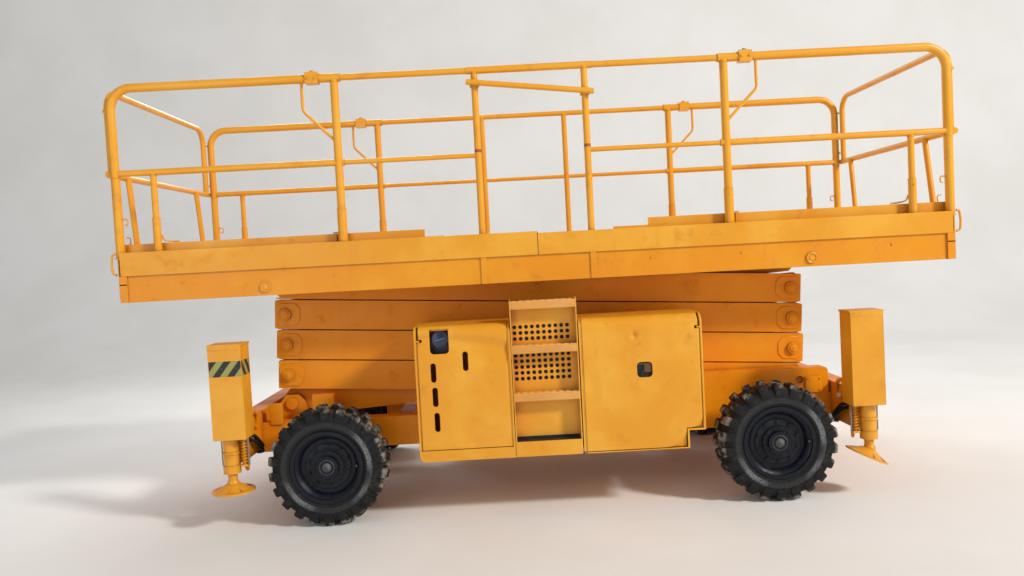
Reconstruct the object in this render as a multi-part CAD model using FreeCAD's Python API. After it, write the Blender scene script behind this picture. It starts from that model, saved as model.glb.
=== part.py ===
import FreeCAD, Part
import math
import os
from FreeCAD import Vector

# Rough-terrain scissor lift with two sliding platform extensions and four stabilisers.
# Millimetres. X runs along the machine with the steered front axle at -X, left side at -Y, +Z up.
# The origin lies on the ground under the middle of the platform.

# Wheels and axles
WHEELBASE = 2955.0
AXLE_SHIFT = 27.0
OVERALL_WIDTH = 2250.0
TYRE_DIAMETER = 775.0
TYRE_WIDTH = 264.0
TYRE_BORE_RADIUS = 222.0
TYRE_BEAD_WIDTH = 210.0
TYRE_BULGE_RADIUS = 302.0
TYRE_CROWN_WIDTH = 236.0
LUGS_A_SIDE = 22
LUG_HEIGHT = 30.0
LUG_WIDTH = 42.0
LUG_SLANT_DEG = 6.0
LUG_INNER_Y = 5.0
LUG_SHOULDER_Y = 112.0
LUG_FOOT_Y = 129.0
LUG_FOOT_DROP = 58.0
LUG_ROOT = 10.0
RIM_SEAT_GAP = 0.3
RIM_WALL = 9.0
RIM_WIDTH = 240.0
RIM_FLANGE_RADIUS = 238.0
RIM_FLANGE_WALL = 9.0
RIM_DISC_WALL = 14.0
RIM_DISC_INSET = 62.0
HUB_RADIUS = 105.0
HUB_LENGTH = 185.0
HUB_CAP_RADIUS = 72.0
HUB_CAP_LENGTH = 26.0
STUB_RADIUS = 50.0
STUB_DEPTH = 110.0
STUB_END_GAP = 10.0
FIT_GAP = 0.05
AXLE_TUBE_RADIUS = 60.0
AXLE_CASE_RADIUS = 130.0
AXLE_CASE_WIDTH = 260.0
AXLE_CASE_OFFSET = 90.0
AXLE_FLANGE_RADIUS = 96.0
AXLE_FLANGE_WALL = 30.0
AXLE_SINK = 10.0
AXLE_PAD_LENGTH = 200.0
AXLE_PAD_INSET = 5.0
KINGPIN_Y = 760.0
KINGPIN_RADIUS = 20.0
KINGPIN_BOSS_RADIUS = 50.0
KNUCKLE_PLATE = 22.0
KNUCKLE_WEB = 25.0
STEER_ARM = 200.0
STEER_ARM_WIDTH = 60.0
TIE_ROD_RADIUS = 14.0
TIE_PIN_RADIUS = 12.0
TIE_PIN_END = 3.0
TIE_EYE_RADIUS = 28.0
TIE_EYE_HEIGHT = 30.0
TIE_EYE_GAP = 1.0
MOVING_GAP = 5.0

# Chassis
CHASSIS_SHIFT = 16.0
RAIL_INNER_Y = 545.0
RAIL_OUTER_Y = 650.0
RAIL_BOTTOM = 410.0
RAIL_TOP = 615.0
RAIL_OVERHANG = 535.0
AXLE_ARCH_LENGTH = 320.0
AXLE_ARCH_HEIGHT = 70.0
CROSS_LENGTH = 110.0
CROSS_BOTTOM = 430.0
CROSS_TOP = 530.0
CROSS_PLACES = (-1050.0, 0.0, 1050.0, 1800.0)
OUTRIGGER_LENGTH = 120.0
OUTRIGGER_BOTTOM = 440.0
OUTRIGGER_TOP = 700.0
GUSSET_WALL = 12.0
GUSSET_DROP = 36.0
GUSSET_STEP = 40.0
TRACK_START_X = 270.0
TRACK_OVERHANG = 201.0
TRACK_TOP = 800.0
TRACK_WEB = 15.0
TRACK_SINK = 10.0
TRACK_CORNER = 30.0
TRACK_HOLE_RADIUS = 27.0
TRACK_COVER_START = 40.0
TRACK_COVER_LENGTH = 109.0
TRACK_COVER_HEIGHT = 112.0
TRACK_COVER_DROP = 35.0
TRACK_COVER_WALL = 8.0
PIVOT_PLATE = 30.0
PIVOT_PLATE_GAP = 15.0
PIVOT_PLATE_LENGTH = 170.0
PIVOT_PLATE_CROWN = 62.0
PIVOT_PLATE_TOE = 60.0
PIVOT_PLATE_SHOULDER = 50.0
PIVOT_PLATE_CHAMFER = 40.0
SIDE_BLOCK_SPAN = (-1628.0, -1479.0)
SIDE_BLOCK_TOP = 795.0
SIDE_BLOCK_WIDTH = 50.0
TOW_EYE_RADIUS = 25.0
TOW_LUG_WALL = 20.0
TOW_LUG_RADIUS = 50.0
TOW_LUG_REACH = 60.0
TOW_LUG_Y = 300.0
TOW_LUG_Z = 490.0

# Scissor stack
STAGES = 4
PIN_SPAN = 3620.0
PIN_START_Z = 716.0
STAGE_RISE = 216.0
ARM_HEIGHT = 200.0
ARM_WIDTH = 80.0
ARM_WALL = 6.0
ARM_END = 75.0
ARM_END_HALF = 45.0
ARM_CORNER = 20.0
INNER_ARM_Y = 360.0
OUTER_ARM_Y = 450.0
PIN_RADIUS = 35.0
PIN_SLEEVE = 15.0
PIN_HEAD_RADIUS = 42.0
PIN_HEAD = 20.0
END_PLATE = 6.0
END_PLATE_BACK = 66.0
END_PLATE_FRONT = 104.0
END_PLATE_SHOULDER = 35.0
END_PLATE_HALF = 78.0
END_PLATE_FLAT = 40.0
SPACER_WIDTH = 9.0
HEAD_GAP = 0.8
CROSS_TUBE_RADIUS = 45.0
ROLLER_RADIUS = 49.7
ROLLER_GAP = 0.3
ROLLER_WIDTH = 80.0

# Lift cylinders, between the inner frames of a pair of stages
CYLINDER_FOOT = 2520.0
CYLINDER_HEAD = 1080.0
CYLINDER_HEAD_DROP = 60.0
CYLINDER_TUBE_RADIUS = 40.0
FORK_TUBE_AHEAD = 60.0
FORK_TUBE_ABOVE = 50.0
BARREL_RADIUS = 62.0
BARREL_EYE_WIDTH = 80.0
BARREL_START = 10.0
BARREL_GAP = 170.0
BARREL_FLOOR = 110.0
ROD_RADIUS = 35.0
ROD_START = 120.0
ROD_EYE_RADIUS = 46.0
ROD_EYE_WIDTH = 64.0
ROD_EYE_BORE = 25.0
FORK_GAP = 8.0
FORK_PLATE = 15.0
FORK_RADIUS = 52.0
FORK_FLAT = 21.0

# Stabilisers
STABILISER_OVERHANG = 64.0
HOUSING_LENGTH = 212.0
HOUSING_WIDTH = 175.0
HOUSING_BOTTOM = 603.0
HOUSING_TOP = 1225.0
HOUSING_WALL = 8.0
HOUSING_COLLAR = 45.0
HOUSING_LID_WALL = 12.0
HOUSING_LID_LIP = 6.0
LEG_OFFSET = 24.0
LEG_RADIUS = 50.0
LEG_BOTTOM = 373.0
LEG_TOP = 1150.0
LEG_RING_RADIUS = 56.0
LEG_RING_LEVELS = ((373.0, 422.0), (500.0, 512.0))
LEG_NECK_RADIUS = 30.0
LEG_NECK_LENGTH = 50.0
FOOT_RADIUS = 139.0
FOOT_HUB_RADIUS = 48.0
FOOT_BOTTOM = 250.0
FOOT_RIM = 12.0
FOOT_CONE = 38.0
FOOT_CONE_RADIUS = 112.0
FOOT_BALL_RADIUS = 40.0
FOOT_TILT_DEG = 25.0
HOSE_RADIUS = 9.0
HOSE_BEND = 38.0
HOSE_SETBACK = 40.0
HOSE_SAG = 70.0

# Side cabinets, doors, ladder, engine
CABINET_FRONT_CLEAR = 612.0
CABINET_REAR_CLEAR = 482.0
CABINET_INNER_X = (-218.0, 226.0)
CABINET_BOTTOM = 392.0
CABINET_TOP = 1268.0
CABINET_WALL = 6.0
CABINET_ROLL = 70.0
CABINET_FOOT = 32.0
CABINET_JAMB = 12.0
DOOR_BOTTOM_FRONT = 468.0
DOOR_BOTTOM_REAR = 404.0
DOOR_WALL = 20.0
DOOR_GAP = 5.0
DOOR_FREE_GAP = 9.0
DOOR_PIN_RADIUS = 5.0
DOOR_PIN_LENGTH = 14.0
DOOR_LUG = 34.0
DOOR_LUG_RELIEF = 15.0
DOOR_HINGE_DROP = 30.0
NOTCH_LENGTH = 109.0
NOTCH_HEIGHT = 116.0
WINDOW_X = (-738.0, -615.0)
WINDOW_Z = (1088.0, 1250.0)
WINDOW_CORNER = 26.0
SLOT_WIDTH = 36.0
SLOT_HEIGHT = 126.0
SLOT_PLACES = ((-723.0, 969.0), (-719.0, 811.0), (-715.0, 647.0), (-513.0, 1034.0))
HANDLE_HOLE_X = 642.0
HANDLE_HOLE_Z = 918.0
HANDLE_HOLE_SIZE = 100.0
HANDLE_HOLE_CORNER = 26.0
CENTRE_BOX = (-205.0, 213.0)
CENTRE_BOX_TOP = 1100.0
LADDER_SPAN = (-212.0, 218.0)
LADDER_WALL = 6.0
LADDER_BACK = 985.0
LADDER_BOTTOM = 403.0
LADDER_TOP = 1412.0
LADDER_RISER_Y = 1040.0
LADDER_RISER_GAP = 20.0
# Each tread: top, height of its front lip
TREADS = ((1398.0, 48.0), (1110.0, 48.0), (800.0, 48.0), (490.0, 87.0))
TREAD_WALL = 8.0
RISER_HOLE_RADIUS = 13.0
RISER_HOLE_COLUMNS = 10
# Each row block: tread it hangs under, number of rows, drop from the tread to the first row
RISER_HOLE_BLOCKS = ((0, 3, 169.0), (1, 5, 67.0))
RISER_HOLE_PITCH = 38.5
RISER_HOLE_SHIFT = -16.0
LADDER_BRACKET = 50.0
LADDER_BRACKET_LEVELS = (420.0, 535.0)
LADDER_EAR = 40.0
ENGINE_LENGTH = 480.0
ENGINE_WIDTH = 300.0
ENGINE_HEIGHT = 400.0
ENGINE_X = 620.0
ENGINE_Y = 880.0

# Platform
PLATFORM_HALF_LENGTH = 2755.0
PLATFORM_HALF_WIDTH = 975.0
BEAM_BELOW_PIN = 58.0
BEAM_HEIGHT = 174.0
BEAM_INSET = 12.0
BEAM_WEB = 12.0
BEAM_FLANGE = 70.0
BEAM_FLANGE_WALL = 10.0
JOIST_LENGTH = 60.0
JOIST_RISE = 39.0
JOIST_PLACES = (-1000.0, 0.0, 1000.0, 1950.0)
FLOOR_RISE = 65.0
FLOOR_WALL = 8.0
SKIRT_WALL = 14.0
SKIRT_RISE = 52.0
SKIRT_SEAM = 12.0
BEAM_BOSS_RADIUS = 37.0
BEAM_BOSS_WALL = 8.0
STIFFENER_LENGTH = 38.0
STIFFENER_WALL = 8.0
END_PLATE_LENGTH = 50.0
END_PLATE_PROUD = 10.0
PLATFORM_PLATE = 30.0
PLATFORM_PLATE_LENGTH = 150.0
PLATFORM_PLATE_CHAMFER = 40.0

# Guard rails and extension decks
RAIL_LINE_Y = 925.0
RAIL_HEIGHT = 1132.0
RAIL_SPACING = 558.0
FIXED_RAIL_RADIUS = 21.0
FIXED_MID_RADIUS = 16.0
FIXED_POST_RADIUS = 22.5
FIXED_POST_X = 363.0
FIXED_RAIL_SHORT = 155.0
ENTRANCE_SLEEVE_RADIUS = 24.0
ENTRANCE_SLEEVE_REACH = 50.0
SLIDE_RAIL_GAP = 2.0
SLIDE_RAIL_OVERHANG = 40.0
SLIDE_TOP_RADIUS = 29.0
SLIDE_MID_RADIUS = 22.0
SLIDE_POST_RADIUS = 27.0
SLIDE_POST_X = 1287.0
SOCKET_RADIUS = 31.0
SOCKET_HEIGHT = 255.0
BORE_END_GAP = 20.0
CORNER_OVERHANG = 10.0
CORNER_BEND = 140.0
CLAMP_START = 100.0
CLAMP_LENGTH = 84.0
CLAMP_HALF = 36.0
CLAMP_KNOB_RADIUS = 14.0
CLAMP_KNOB_TOP = 52.0
BRACE_RADIUS = 10.0
BRACE_START = 215.0
BRACE_KNEE_DROP = 209.0
BRACE_FOOT_DROP = 428.0
BRACE_BEND = 60.0
BRACE_SINK = 3.0
SHORT_POST_INSET = 240.0
SHORT_POST_RADIUS = 21.0
SHORT_SOCKET_RADIUS = 26.0
END_FRAME_RADIUS = 22.0
END_FRAME_OVERLAP = 3.0
END_FRAME_Y = 870.0
END_FRAME_BEND = 130.0
# Each leaning post of the rear end frame: place of its top and of its foot along Y
END_POSTS = ((-570.0, -660.0), (680.0, 610.0))
END_POST_RADIUS = 20.0
DECK_INNER_X = 750.0
DECK_OVERHANG = 23.0
DECK_HALF_WIDTH = 954.0
DECK_WALL = 8.0
RUNNER_HEIGHT = 6.0
RUNNER_GAP = 0.3
RUNNER_LINES = (-720.0, 0.0, 720.0)
RUNNER_WIDTH = 60.0
TOE_BOARD_Y = 884.0
TOE_BOARD_WALL = 8.0
TOE_BOARD_RISE = 107.0
APRON_WALL = 8.0
APRON_RISE = 23.0
GATE_BAR_RADIUS = 19.0
GATE_BAR_BELOW = 175.0
GATE_BAR_RISE = 88.0
GATE_BAR_OVERHANG = 55.0
GATE_BAR_SINK = 3.0
GATE_COLLAR_RADIUS = 33.0
GATE_COLLAR_GAP = 0.5
GATE_COLLAR_HEIGHT = 44.0

# Sizes that follow from the ones above
FRONT_AXLE_X = AXLE_SHIFT - WHEELBASE / 2
REAR_AXLE_X = AXLE_SHIFT + WHEELBASE / 2
WHEEL_Z = TYRE_DIAMETER / 2
WHEEL_OUT_Y = OVERALL_WIDTH / 2
WHEEL_Y = WHEEL_OUT_Y - TYRE_WIDTH / 2
RAIL_END_X = WHEELBASE / 2 + RAIL_OVERHANG
STABILISER_X = RAIL_END_X + STABILISER_OVERHANG
LEG_X = STABILISER_X + LEG_OFFSET
PIN_X = PIN_SPAN / 2
TRACK_END_X = PIN_X + TRACK_OVERHANG
REST_SLOPE = math.degrees(math.atan2(STAGE_RISE, PIN_SPAN))
ARM_LENGTH = math.hypot(PIN_SPAN, STAGE_RISE)
INNER_ARM_OUT = INNER_ARM_Y + ARM_WIDTH
OUTER_ARM_OUT = OUTER_ARM_Y + ARM_WIDTH
PIN_OUT_Y = OUTER_ARM_OUT + END_PLATE + HEAD_GAP
HOUSING_IN_Y = WHEEL_OUT_Y - HOUSING_WIDTH
TRACK_FLOOR = PIN_START_Z - ROLLER_RADIUS - ROLLER_GAP
TRACK_ROOF = PIN_START_Z + ROLLER_RADIUS + ROLLER_GAP
ROLLER_Y = RAIL_INNER_Y + MOVING_GAP
TOP_PIN_Z = PIN_START_Z + STAGES * STAGE_RISE
TIE_TOP = WHEEL_Z - AXLE_TUBE_RADIUS - MOVING_GAP - KNUCKLE_PLATE - TIE_EYE_GAP
TIE_Z = TIE_TOP - TIE_EYE_HEIGHT / 2
BEAM_BOTTOM = TOP_PIN_Z - BEAM_BELOW_PIN
BEAM_TOP = BEAM_BOTTOM + BEAM_HEIGHT
JOIST_TOP = BEAM_TOP + JOIST_RISE
FLOOR_TOP = JOIST_TOP + FLOOR_RISE
SKIRT_TOP = FLOOR_TOP + SKIRT_RISE
TOE_BOARD_TOP = FLOOR_TOP + TOE_BOARD_RISE
DECK_BOTTOM = FLOOR_TOP + RUNNER_GAP + RUNNER_HEIGHT
DECK_TOP = DECK_BOTTOM + DECK_WALL
DECK_OUTER_X = PLATFORM_HALF_LENGTH + DECK_OVERHANG
RAIL_TOP_Z = FLOOR_TOP + RAIL_HEIGHT
RAIL_MID_Z = RAIL_TOP_Z - RAIL_SPACING
FIXED_RAIL_END = PLATFORM_HALF_LENGTH - FIXED_RAIL_SHORT
CORNER_X = PLATFORM_HALF_LENGTH + CORNER_OVERHANG
SHORT_POST_X = PLATFORM_HALF_LENGTH - SHORT_POST_INSET
END_FRAME_X = CORNER_X + SLIDE_TOP_RADIUS + END_FRAME_RADIUS - END_FRAME_OVERLAP
CABINET_SPANS = (("front", FRONT_AXLE_X + CABINET_FRONT_CLEAR, CABINET_INNER_X[0]),
                 ("rear", CABINET_INNER_X[1], REAR_AXLE_X - CABINET_REAR_CLEAR))
HINGE_TOP = CABINET_TOP - CABINET_ROLL - DOOR_HINGE_DROP
SIDES = (("left", -1), ("right", 1))
ENDS = (("front", -1), ("rear", 1))
AXLE_PLACES = {"front": FRONT_AXLE_X, "rear": REAR_AXLE_X}


def box(x0, x1, y0, y1, z0, z1):
    """Block between two corners, given in either order."""
    low = Vector(min(x0, x1), min(y0, y1), min(z0, z1))
    return Part.makeBox(abs(x1 - x0), abs(y1 - y0), abs(z1 - z0), low)


def rod_x(y, z, radius, x0, x1):
    """Round bar along X."""
    return Part.makeCylinder(radius, abs(x1 - x0), Vector(min(x0, x1), y, z), Vector(1, 0, 0))


def rod_y(x, z, radius, y0, y1):
    """Round bar along Y."""
    return Part.makeCylinder(radius, abs(y1 - y0), Vector(x, min(y0, y1), z), Vector(0, 1, 0))


def rod_z(x, y, radius, z0, z1):
    """Round bar along Z."""
    return Part.makeCylinder(radius, abs(z1 - z0), Vector(x, y, min(z0, z1)), Vector(0, 0, 1))


def fuse(pieces):
    """One solid from pieces that touch or overlap."""
    return pieces[0].fuse(pieces[1:]).removeSplitter()


def mirror_y(shape):
    """The same piece on the other side of the machine."""
    return shape.mirror(Vector(0, 0, 0), Vector(0, 1, 0))


def mirror_x(shape):
    """The same piece at the other end of the machine."""
    return shape.mirror(Vector(0, 0, 0), Vector(1, 0, 0))


def both_sides(pieces):
    """Pieces and their mirror images across the machine's centre plane."""
    return pieces + [mirror_y(piece) for piece in pieces]


def prism_y(points, y0, y1):
    """Plate from an outline of (x, z) points, between two places along Y."""
    loop = [Vector(x, min(y0, y1), z) for x, z in points]
    face = Part.Face(Part.makePolygon(loop + loop[:1]))
    return face.extrude(Vector(0, abs(y1 - y0), 0))


def turned_y(profile, x, z):
    """Solid of revolution about an axle along Y, from (radius, y) points."""
    loop = [Vector(x + radius, y, z) for radius, y in profile]
    face = Part.Face(Part.makePolygon(loop + loop[:1]))
    return face.revolve(Vector(x, 0, z), Vector(0, 1, 0), 360)


def centre_line(points, bend):
    """Wire of straight runs joined by tangent arcs of one bend radius."""
    edges = []
    start = points[0]
    for before, corner, after in zip(points, points[1:], points[2:]):
        back = (before - corner).normalize()
        ahead = (after - corner).normalize()
        half_turn = (math.pi - back.getAngle(ahead)) / 2
        trim = bend * math.tan(half_turn)
        middle = (back + ahead).normalize()
        middle.multiply(bend / math.cos(half_turn) - bend)
        arc_start = corner + back * trim
        arc_end = corner + ahead * trim
        edges.append(Part.LineSegment(start, arc_start).toShape())
        edges.append(Part.Arc(arc_start, corner + middle, arc_end).toShape())
        start = arc_end
    edges.append(Part.LineSegment(start, points[-1]).toShape())
    return Part.Wire(edges)


def tube(points, radius, bend):
    """Round bar bent along a row of points."""
    line = centre_line(points, bend)
    section = Part.Wire([Part.Circle(points[0], points[1] - points[0], radius).toShape()])
    return line.makePipeShell([section], True, False)


def save(name, shape):
    """Write one sub-part."""
    shape.exportStep("parts/" + name + ".step")


# Wheels

def tyre_ring():
    """Carcass about the Y axis, as a ring of flat facets, two for each pair of lugs."""
    half = TYRE_WIDTH / 2
    bead = TYRE_BEAD_WIDTH / 2
    crown_half = TYRE_CROWN_WIDTH / 2
    facets = 2 * LUGS_A_SIDE
    half_turn = math.pi / facets
    bore = TYRE_BORE_RADIUS / math.cos(half_turn)
    crown = TYRE_DIAMETER / 2 - LUG_HEIGHT
    section = [(bore, -bead), (TYRE_BULGE_RADIUS, -half), (crown, -crown_half),
               (crown, crown_half), (TYRE_BULGE_RADIUS, half), (bore, bead)]
    loops = []
    for index in range(facets):
        turn = (2 * index + 1) * half_turn
        loops.append([Vector(radius * math.sin(turn), y, radius * math.cos(turn)) for radius, y in section])
    faces = []
    for here, ahead in zip(loops, loops[1:] + loops[:1]):
        for index in range(len(section)):
            corners = [here[index - 1], here[index], ahead[index], ahead[index - 1]]
            faces.append(Part.Face(Part.makePolygon(corners + corners[:1])))
    ring = Part.Solid(Part.Shell(faces))
    return ring if ring.Volume > 0 else ring.reversed()


def tread_lug(row):
    """Lug at the top of one half of the tread, slanted across it."""
    top = TYRE_DIAMETER / 2
    outline = [(LUG_INNER_Y, top - LUG_HEIGHT - LUG_ROOT), (LUG_INNER_Y, top), (LUG_SHOULDER_Y, top),
               (LUG_FOOT_Y, top - LUG_FOOT_DROP), (LUG_SHOULDER_Y, top - LUG_FOOT_DROP - LUG_ROOT)]
    loop = [Vector(-LUG_WIDTH / 2, row * y, z) for y, z in outline]
    lug = Part.Face(Part.makePolygon(loop + loop[:1])).extrude(Vector(LUG_WIDTH, 0, 0))
    middle = row * (LUG_INNER_Y + LUG_SHOULDER_Y) / 2
    lug.rotate(Vector(0, middle, 0), Vector(0, 0, 1), row * LUG_SLANT_DEG)
    return lug


def make_tyre():
    """Right-side tyre about the origin, an outer lug flat on the ground."""
    pitch = 360.0 / LUGS_A_SIDE
    lugs = []
    for row, start in ((1, 180.0), (-1, 180.0 + pitch / 2)):
        for index in range(LUGS_A_SIDE):
            lug = tread_lug(row)
            lug.rotate(Vector(0, 0, 0), Vector(0, 1, 0), start + index * pitch)
            lugs.append(lug)
    return fuse([tyre_ring()] + lugs)


def place_wheel(shape, x, side):
    """A right-side wheel piece that lies about the origin, moved to its axle."""
    placed = shape.copy() if side > 0 else mirror_y(shape)
    placed.translate(Vector(x, side * WHEEL_Y, WHEEL_Z))
    return placed


def make_rim():
    """Right-side rim, dished disc and planetary hub, bored for the axle's stub."""
    seat = TYRE_BORE_RADIUS - RIM_SEAT_GAP
    half = RIM_WIDTH / 2
    flange = half - RIM_FLANGE_WALL
    bore = seat - RIM_WALL
    disc_out = half - RIM_DISC_INSET
    disc_in = disc_out - RIM_DISC_WALL
    hub_end = disc_out + RIM_DISC_INSET / 2
    hub_start = hub_end - HUB_LENGTH
    rim = [(bore, -half), (RIM_FLANGE_RADIUS, -half), (RIM_FLANGE_RADIUS, -flange), (seat, -flange),
           (seat, flange), (RIM_FLANGE_RADIUS, flange), (RIM_FLANGE_RADIUS, half), (bore, half),
           (bore, disc_out), (HUB_RADIUS, disc_out), (HUB_RADIUS, hub_end),
           (HUB_CAP_RADIUS, hub_end), (HUB_CAP_RADIUS, hub_end + HUB_CAP_LENGTH),
           (0, hub_end + HUB_CAP_LENGTH), (0, hub_start + STUB_DEPTH),
           (STUB_RADIUS + FIT_GAP, hub_start + STUB_DEPTH), (STUB_RADIUS + FIT_GAP, hub_start),
           (HUB_RADIUS, hub_start), (HUB_RADIUS, disc_in), (bore, disc_in)]
    return turned_y(rim, 0, 0)


def hub_start_y():
    """Distance from the centre plane to the hub's inner face."""
    disc_out = RIM_WIDTH / 2 - RIM_DISC_INSET
    return WHEEL_Y + disc_out + RIM_DISC_INSET / 2 - HUB_LENGTH


def make_stub(x):
    """Stub shaft and flange that carry a left wheel, flange face just inside the hub."""
    face = hub_start_y() - MOVING_GAP
    flange = rod_y(x, WHEEL_Z, AXLE_FLANGE_RADIUS, -face, -face + AXLE_FLANGE_WALL)
    shaft = rod_y(x, WHEEL_Z, STUB_RADIUS, -face, -face - MOVING_GAP - STUB_DEPTH + STUB_END_GAP)
    return [flange, shaft]


# Axles

def axle_core(x, half_length):
    pads = [box(x - AXLE_PAD_LENGTH / 2, x + AXLE_PAD_LENGTH / 2, -RAIL_OUTER_Y + AXLE_PAD_INSET,
                -RAIL_INNER_Y - AXLE_PAD_INSET, WHEEL_Z, RAIL_BOTTOM + AXLE_ARCH_HEIGHT)]
    low_y = AXLE_CASE_OFFSET - AXLE_CASE_WIDTH / 2
    high_y = AXLE_CASE_OFFSET + AXLE_CASE_WIDTH / 2
    taper = AXLE_CASE_WIDTH / 4
    case = turned_y([(0, low_y), (AXLE_TUBE_RADIUS, low_y), (AXLE_CASE_RADIUS, low_y + taper),
                     (AXLE_CASE_RADIUS, high_y - taper), (AXLE_TUBE_RADIUS, high_y), (0, high_y)], x, WHEEL_Z)
    return [rod_y(x, WHEEL_Z, AXLE_TUBE_RADIUS, -half_length, half_length), case] + both_sides(pads)


def make_rear_axle():
    half_length = hub_start_y() - MOVING_GAP - AXLE_SINK
    return fuse(axle_core(REAR_AXLE_X, half_length) + both_sides(make_stub(REAR_AXLE_X)))


def make_front_axle():
    """Steered axle, with a bored kingpin boss at each end."""
    low = WHEEL_Z - AXLE_TUBE_RADIUS
    high = WHEEL_Z + AXLE_TUBE_RADIUS
    bosses = both_sides([rod_z(FRONT_AXLE_X, -KINGPIN_Y, KINGPIN_BOSS_RADIUS, low, high)])
    bores = both_sides([rod_z(FRONT_AXLE_X, -KINGPIN_Y, KINGPIN_RADIUS + FIT_GAP, low, high)])
    return fuse(axle_core(FRONT_AXLE_X, KINGPIN_Y) + bosses).cut(bores)


def make_knuckle():
    """Left knuckle: a C round the kingpin boss, the wheel's stub and the steering arm."""
    low = WHEEL_Z - AXLE_TUBE_RADIUS - MOVING_GAP
    high = WHEEL_Z + AXLE_TUBE_RADIUS + MOVING_GAP
    base = low - KNUCKLE_PLATE
    back = hub_start_y() - MOVING_GAP
    half = KINGPIN_BOSS_RADIUS
    x = FRONT_AXLE_X
    arm_x = x + STEER_ARM
    pieces = [rod_z(x, -KINGPIN_Y, KINGPIN_RADIUS, base, high + KNUCKLE_PLATE)]
    for z0 in (base, high):
        pieces.append(rod_z(x, -KINGPIN_Y, half, z0, z0 + KNUCKLE_PLATE))
        pieces.append(box(x - half, x + half, -back, -KINGPIN_Y, z0, z0 + KNUCKLE_PLATE))
    pieces.append(box(x - half, x + half, -back, -back + KNUCKLE_WEB, base, high + KNUCKLE_PLATE))
    pieces.append(box(x, arm_x, -KINGPIN_Y - STEER_ARM_WIDTH / 2, -KINGPIN_Y + STEER_ARM_WIDTH / 2, base, low))
    pieces.append(rod_z(arm_x, -KINGPIN_Y, STEER_ARM_WIDTH / 2, base, low))
    pin_end = base - TIE_EYE_GAP - TIE_EYE_HEIGHT - TIE_PIN_END
    pieces.append(rod_z(arm_x, -KINGPIN_Y, TIE_PIN_RADIUS, pin_end, low))
    return fuse(pieces + make_stub(x))


def make_tie_rod():
    """Bar between the two steering arms, hanging on their pins."""
    bottom = TIE_TOP - TIE_EYE_HEIGHT
    x = FRONT_AXLE_X + STEER_ARM
    eyes = both_sides([rod_z(x, -KINGPIN_Y, TIE_EYE_RADIUS, bottom, TIE_TOP)])
    bores = both_sides([rod_z(x, -KINGPIN_Y, TIE_PIN_RADIUS + FIT_GAP, bottom, TIE_TOP)])
    reach = KINGPIN_Y - TIE_EYE_RADIUS / 2
    return fuse([rod_y(x, TIE_Z, TIE_ROD_RADIUS, -reach, reach)] + eyes).cut(bores)


# Chassis

def make_chassis():
    half_arch = AXLE_ARCH_LENGTH / 2
    rail = box(CHASSIS_SHIFT - RAIL_END_X, CHASSIS_SHIFT + RAIL_END_X, -RAIL_OUTER_Y, -RAIL_INNER_Y,
               RAIL_BOTTOM, RAIL_TOP)
    for x in (FRONT_AXLE_X, REAR_AXLE_X):
        rail = rail.cut(box(x - half_arch, x + half_arch, -RAIL_OUTER_Y, -RAIL_INNER_Y, RAIL_BOTTOM,
                            RAIL_BOTTOM + AXLE_ARCH_HEIGHT))
    block = box(SIDE_BLOCK_SPAN[0], SIDE_BLOCK_SPAN[1], -RAIL_OUTER_Y, -RAIL_OUTER_Y + SIDE_BLOCK_WIDTH,
                RAIL_TOP, SIDE_BLOCK_TOP)
    pieces = both_sides([rail, block, roller_track()] + pivot_bracket())
    for x in (-PIN_X,) + CROSS_PLACES:
        pieces.append(box(x - CROSS_LENGTH / 2, x + CROSS_LENGTH / 2, -RAIL_INNER_Y, RAIL_INNER_Y,
                          CROSS_BOTTOM, CROSS_TOP))
    outrigger = [box(RAIL_END_X, RAIL_END_X + OUTRIGGER_LENGTH, -HOUSING_IN_Y, HOUSING_IN_Y,
                     OUTRIGGER_BOTTOM, OUTRIGGER_TOP)] + tow_lug() + both_sides([gusset(), make_hose()])
    for piece in outrigger + [mirror_x(piece) for piece in outrigger]:
        piece.translate(Vector(CHASSIS_SHIFT, 0, 0))
        pieces.append(piece)
    return fuse(pieces)


def roller_track():
    """Left-side channel on the main rail, with a way in to the pin and a cover beside it."""
    outer_y = -RAIL_OUTER_Y
    track = box(TRACK_START_X, TRACK_END_X, outer_y, -RAIL_INNER_Y, RAIL_TOP - TRACK_SINK, TRACK_TOP)
    corner = [edge for edge in track.Edges
              if abs(edge.CenterOfMass.x - TRACK_END_X) < 1 and abs(edge.CenterOfMass.z - TRACK_TOP) < 1]
    track = track.makeFillet(TRACK_CORNER, corner)
    groove = box(TRACK_START_X - TRACK_SINK, TRACK_END_X - TRACK_WEB, outer_y + TRACK_WEB, -RAIL_INNER_Y,
                 TRACK_FLOOR, TRACK_ROOF)
    hole = rod_y(PIN_X, PIN_START_Z, TRACK_HOLE_RADIUS, outer_y, outer_y + TRACK_WEB)
    cover_x = PIN_X + TRACK_COVER_START
    cover_z = PIN_START_Z - TRACK_COVER_DROP
    cover = box(cover_x, cover_x + TRACK_COVER_LENGTH, outer_y - TRACK_COVER_WALL, outer_y,
                cover_z - TRACK_COVER_HEIGHT / 2, cover_z + TRACK_COVER_HEIGHT / 2)
    return fuse([track.cut([groove, hole]), cover])


def gusset():
    """Plate on the left end of the rear outrigger beam, under the housing."""
    inner = RAIL_END_X
    outer = inner + OUTRIGGER_LENGTH
    outline = [(inner, OUTRIGGER_BOTTOM), (outer - GUSSET_STEP, OUTRIGGER_BOTTOM - GUSSET_DROP),
               (outer, OUTRIGGER_BOTTOM - GUSSET_DROP), (outer, OUTRIGGER_TOP), (inner, OUTRIGGER_TOP)]
    return prism_y(outline, -HOUSING_IN_Y, -HOUSING_IN_Y + GUSSET_WALL)


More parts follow.
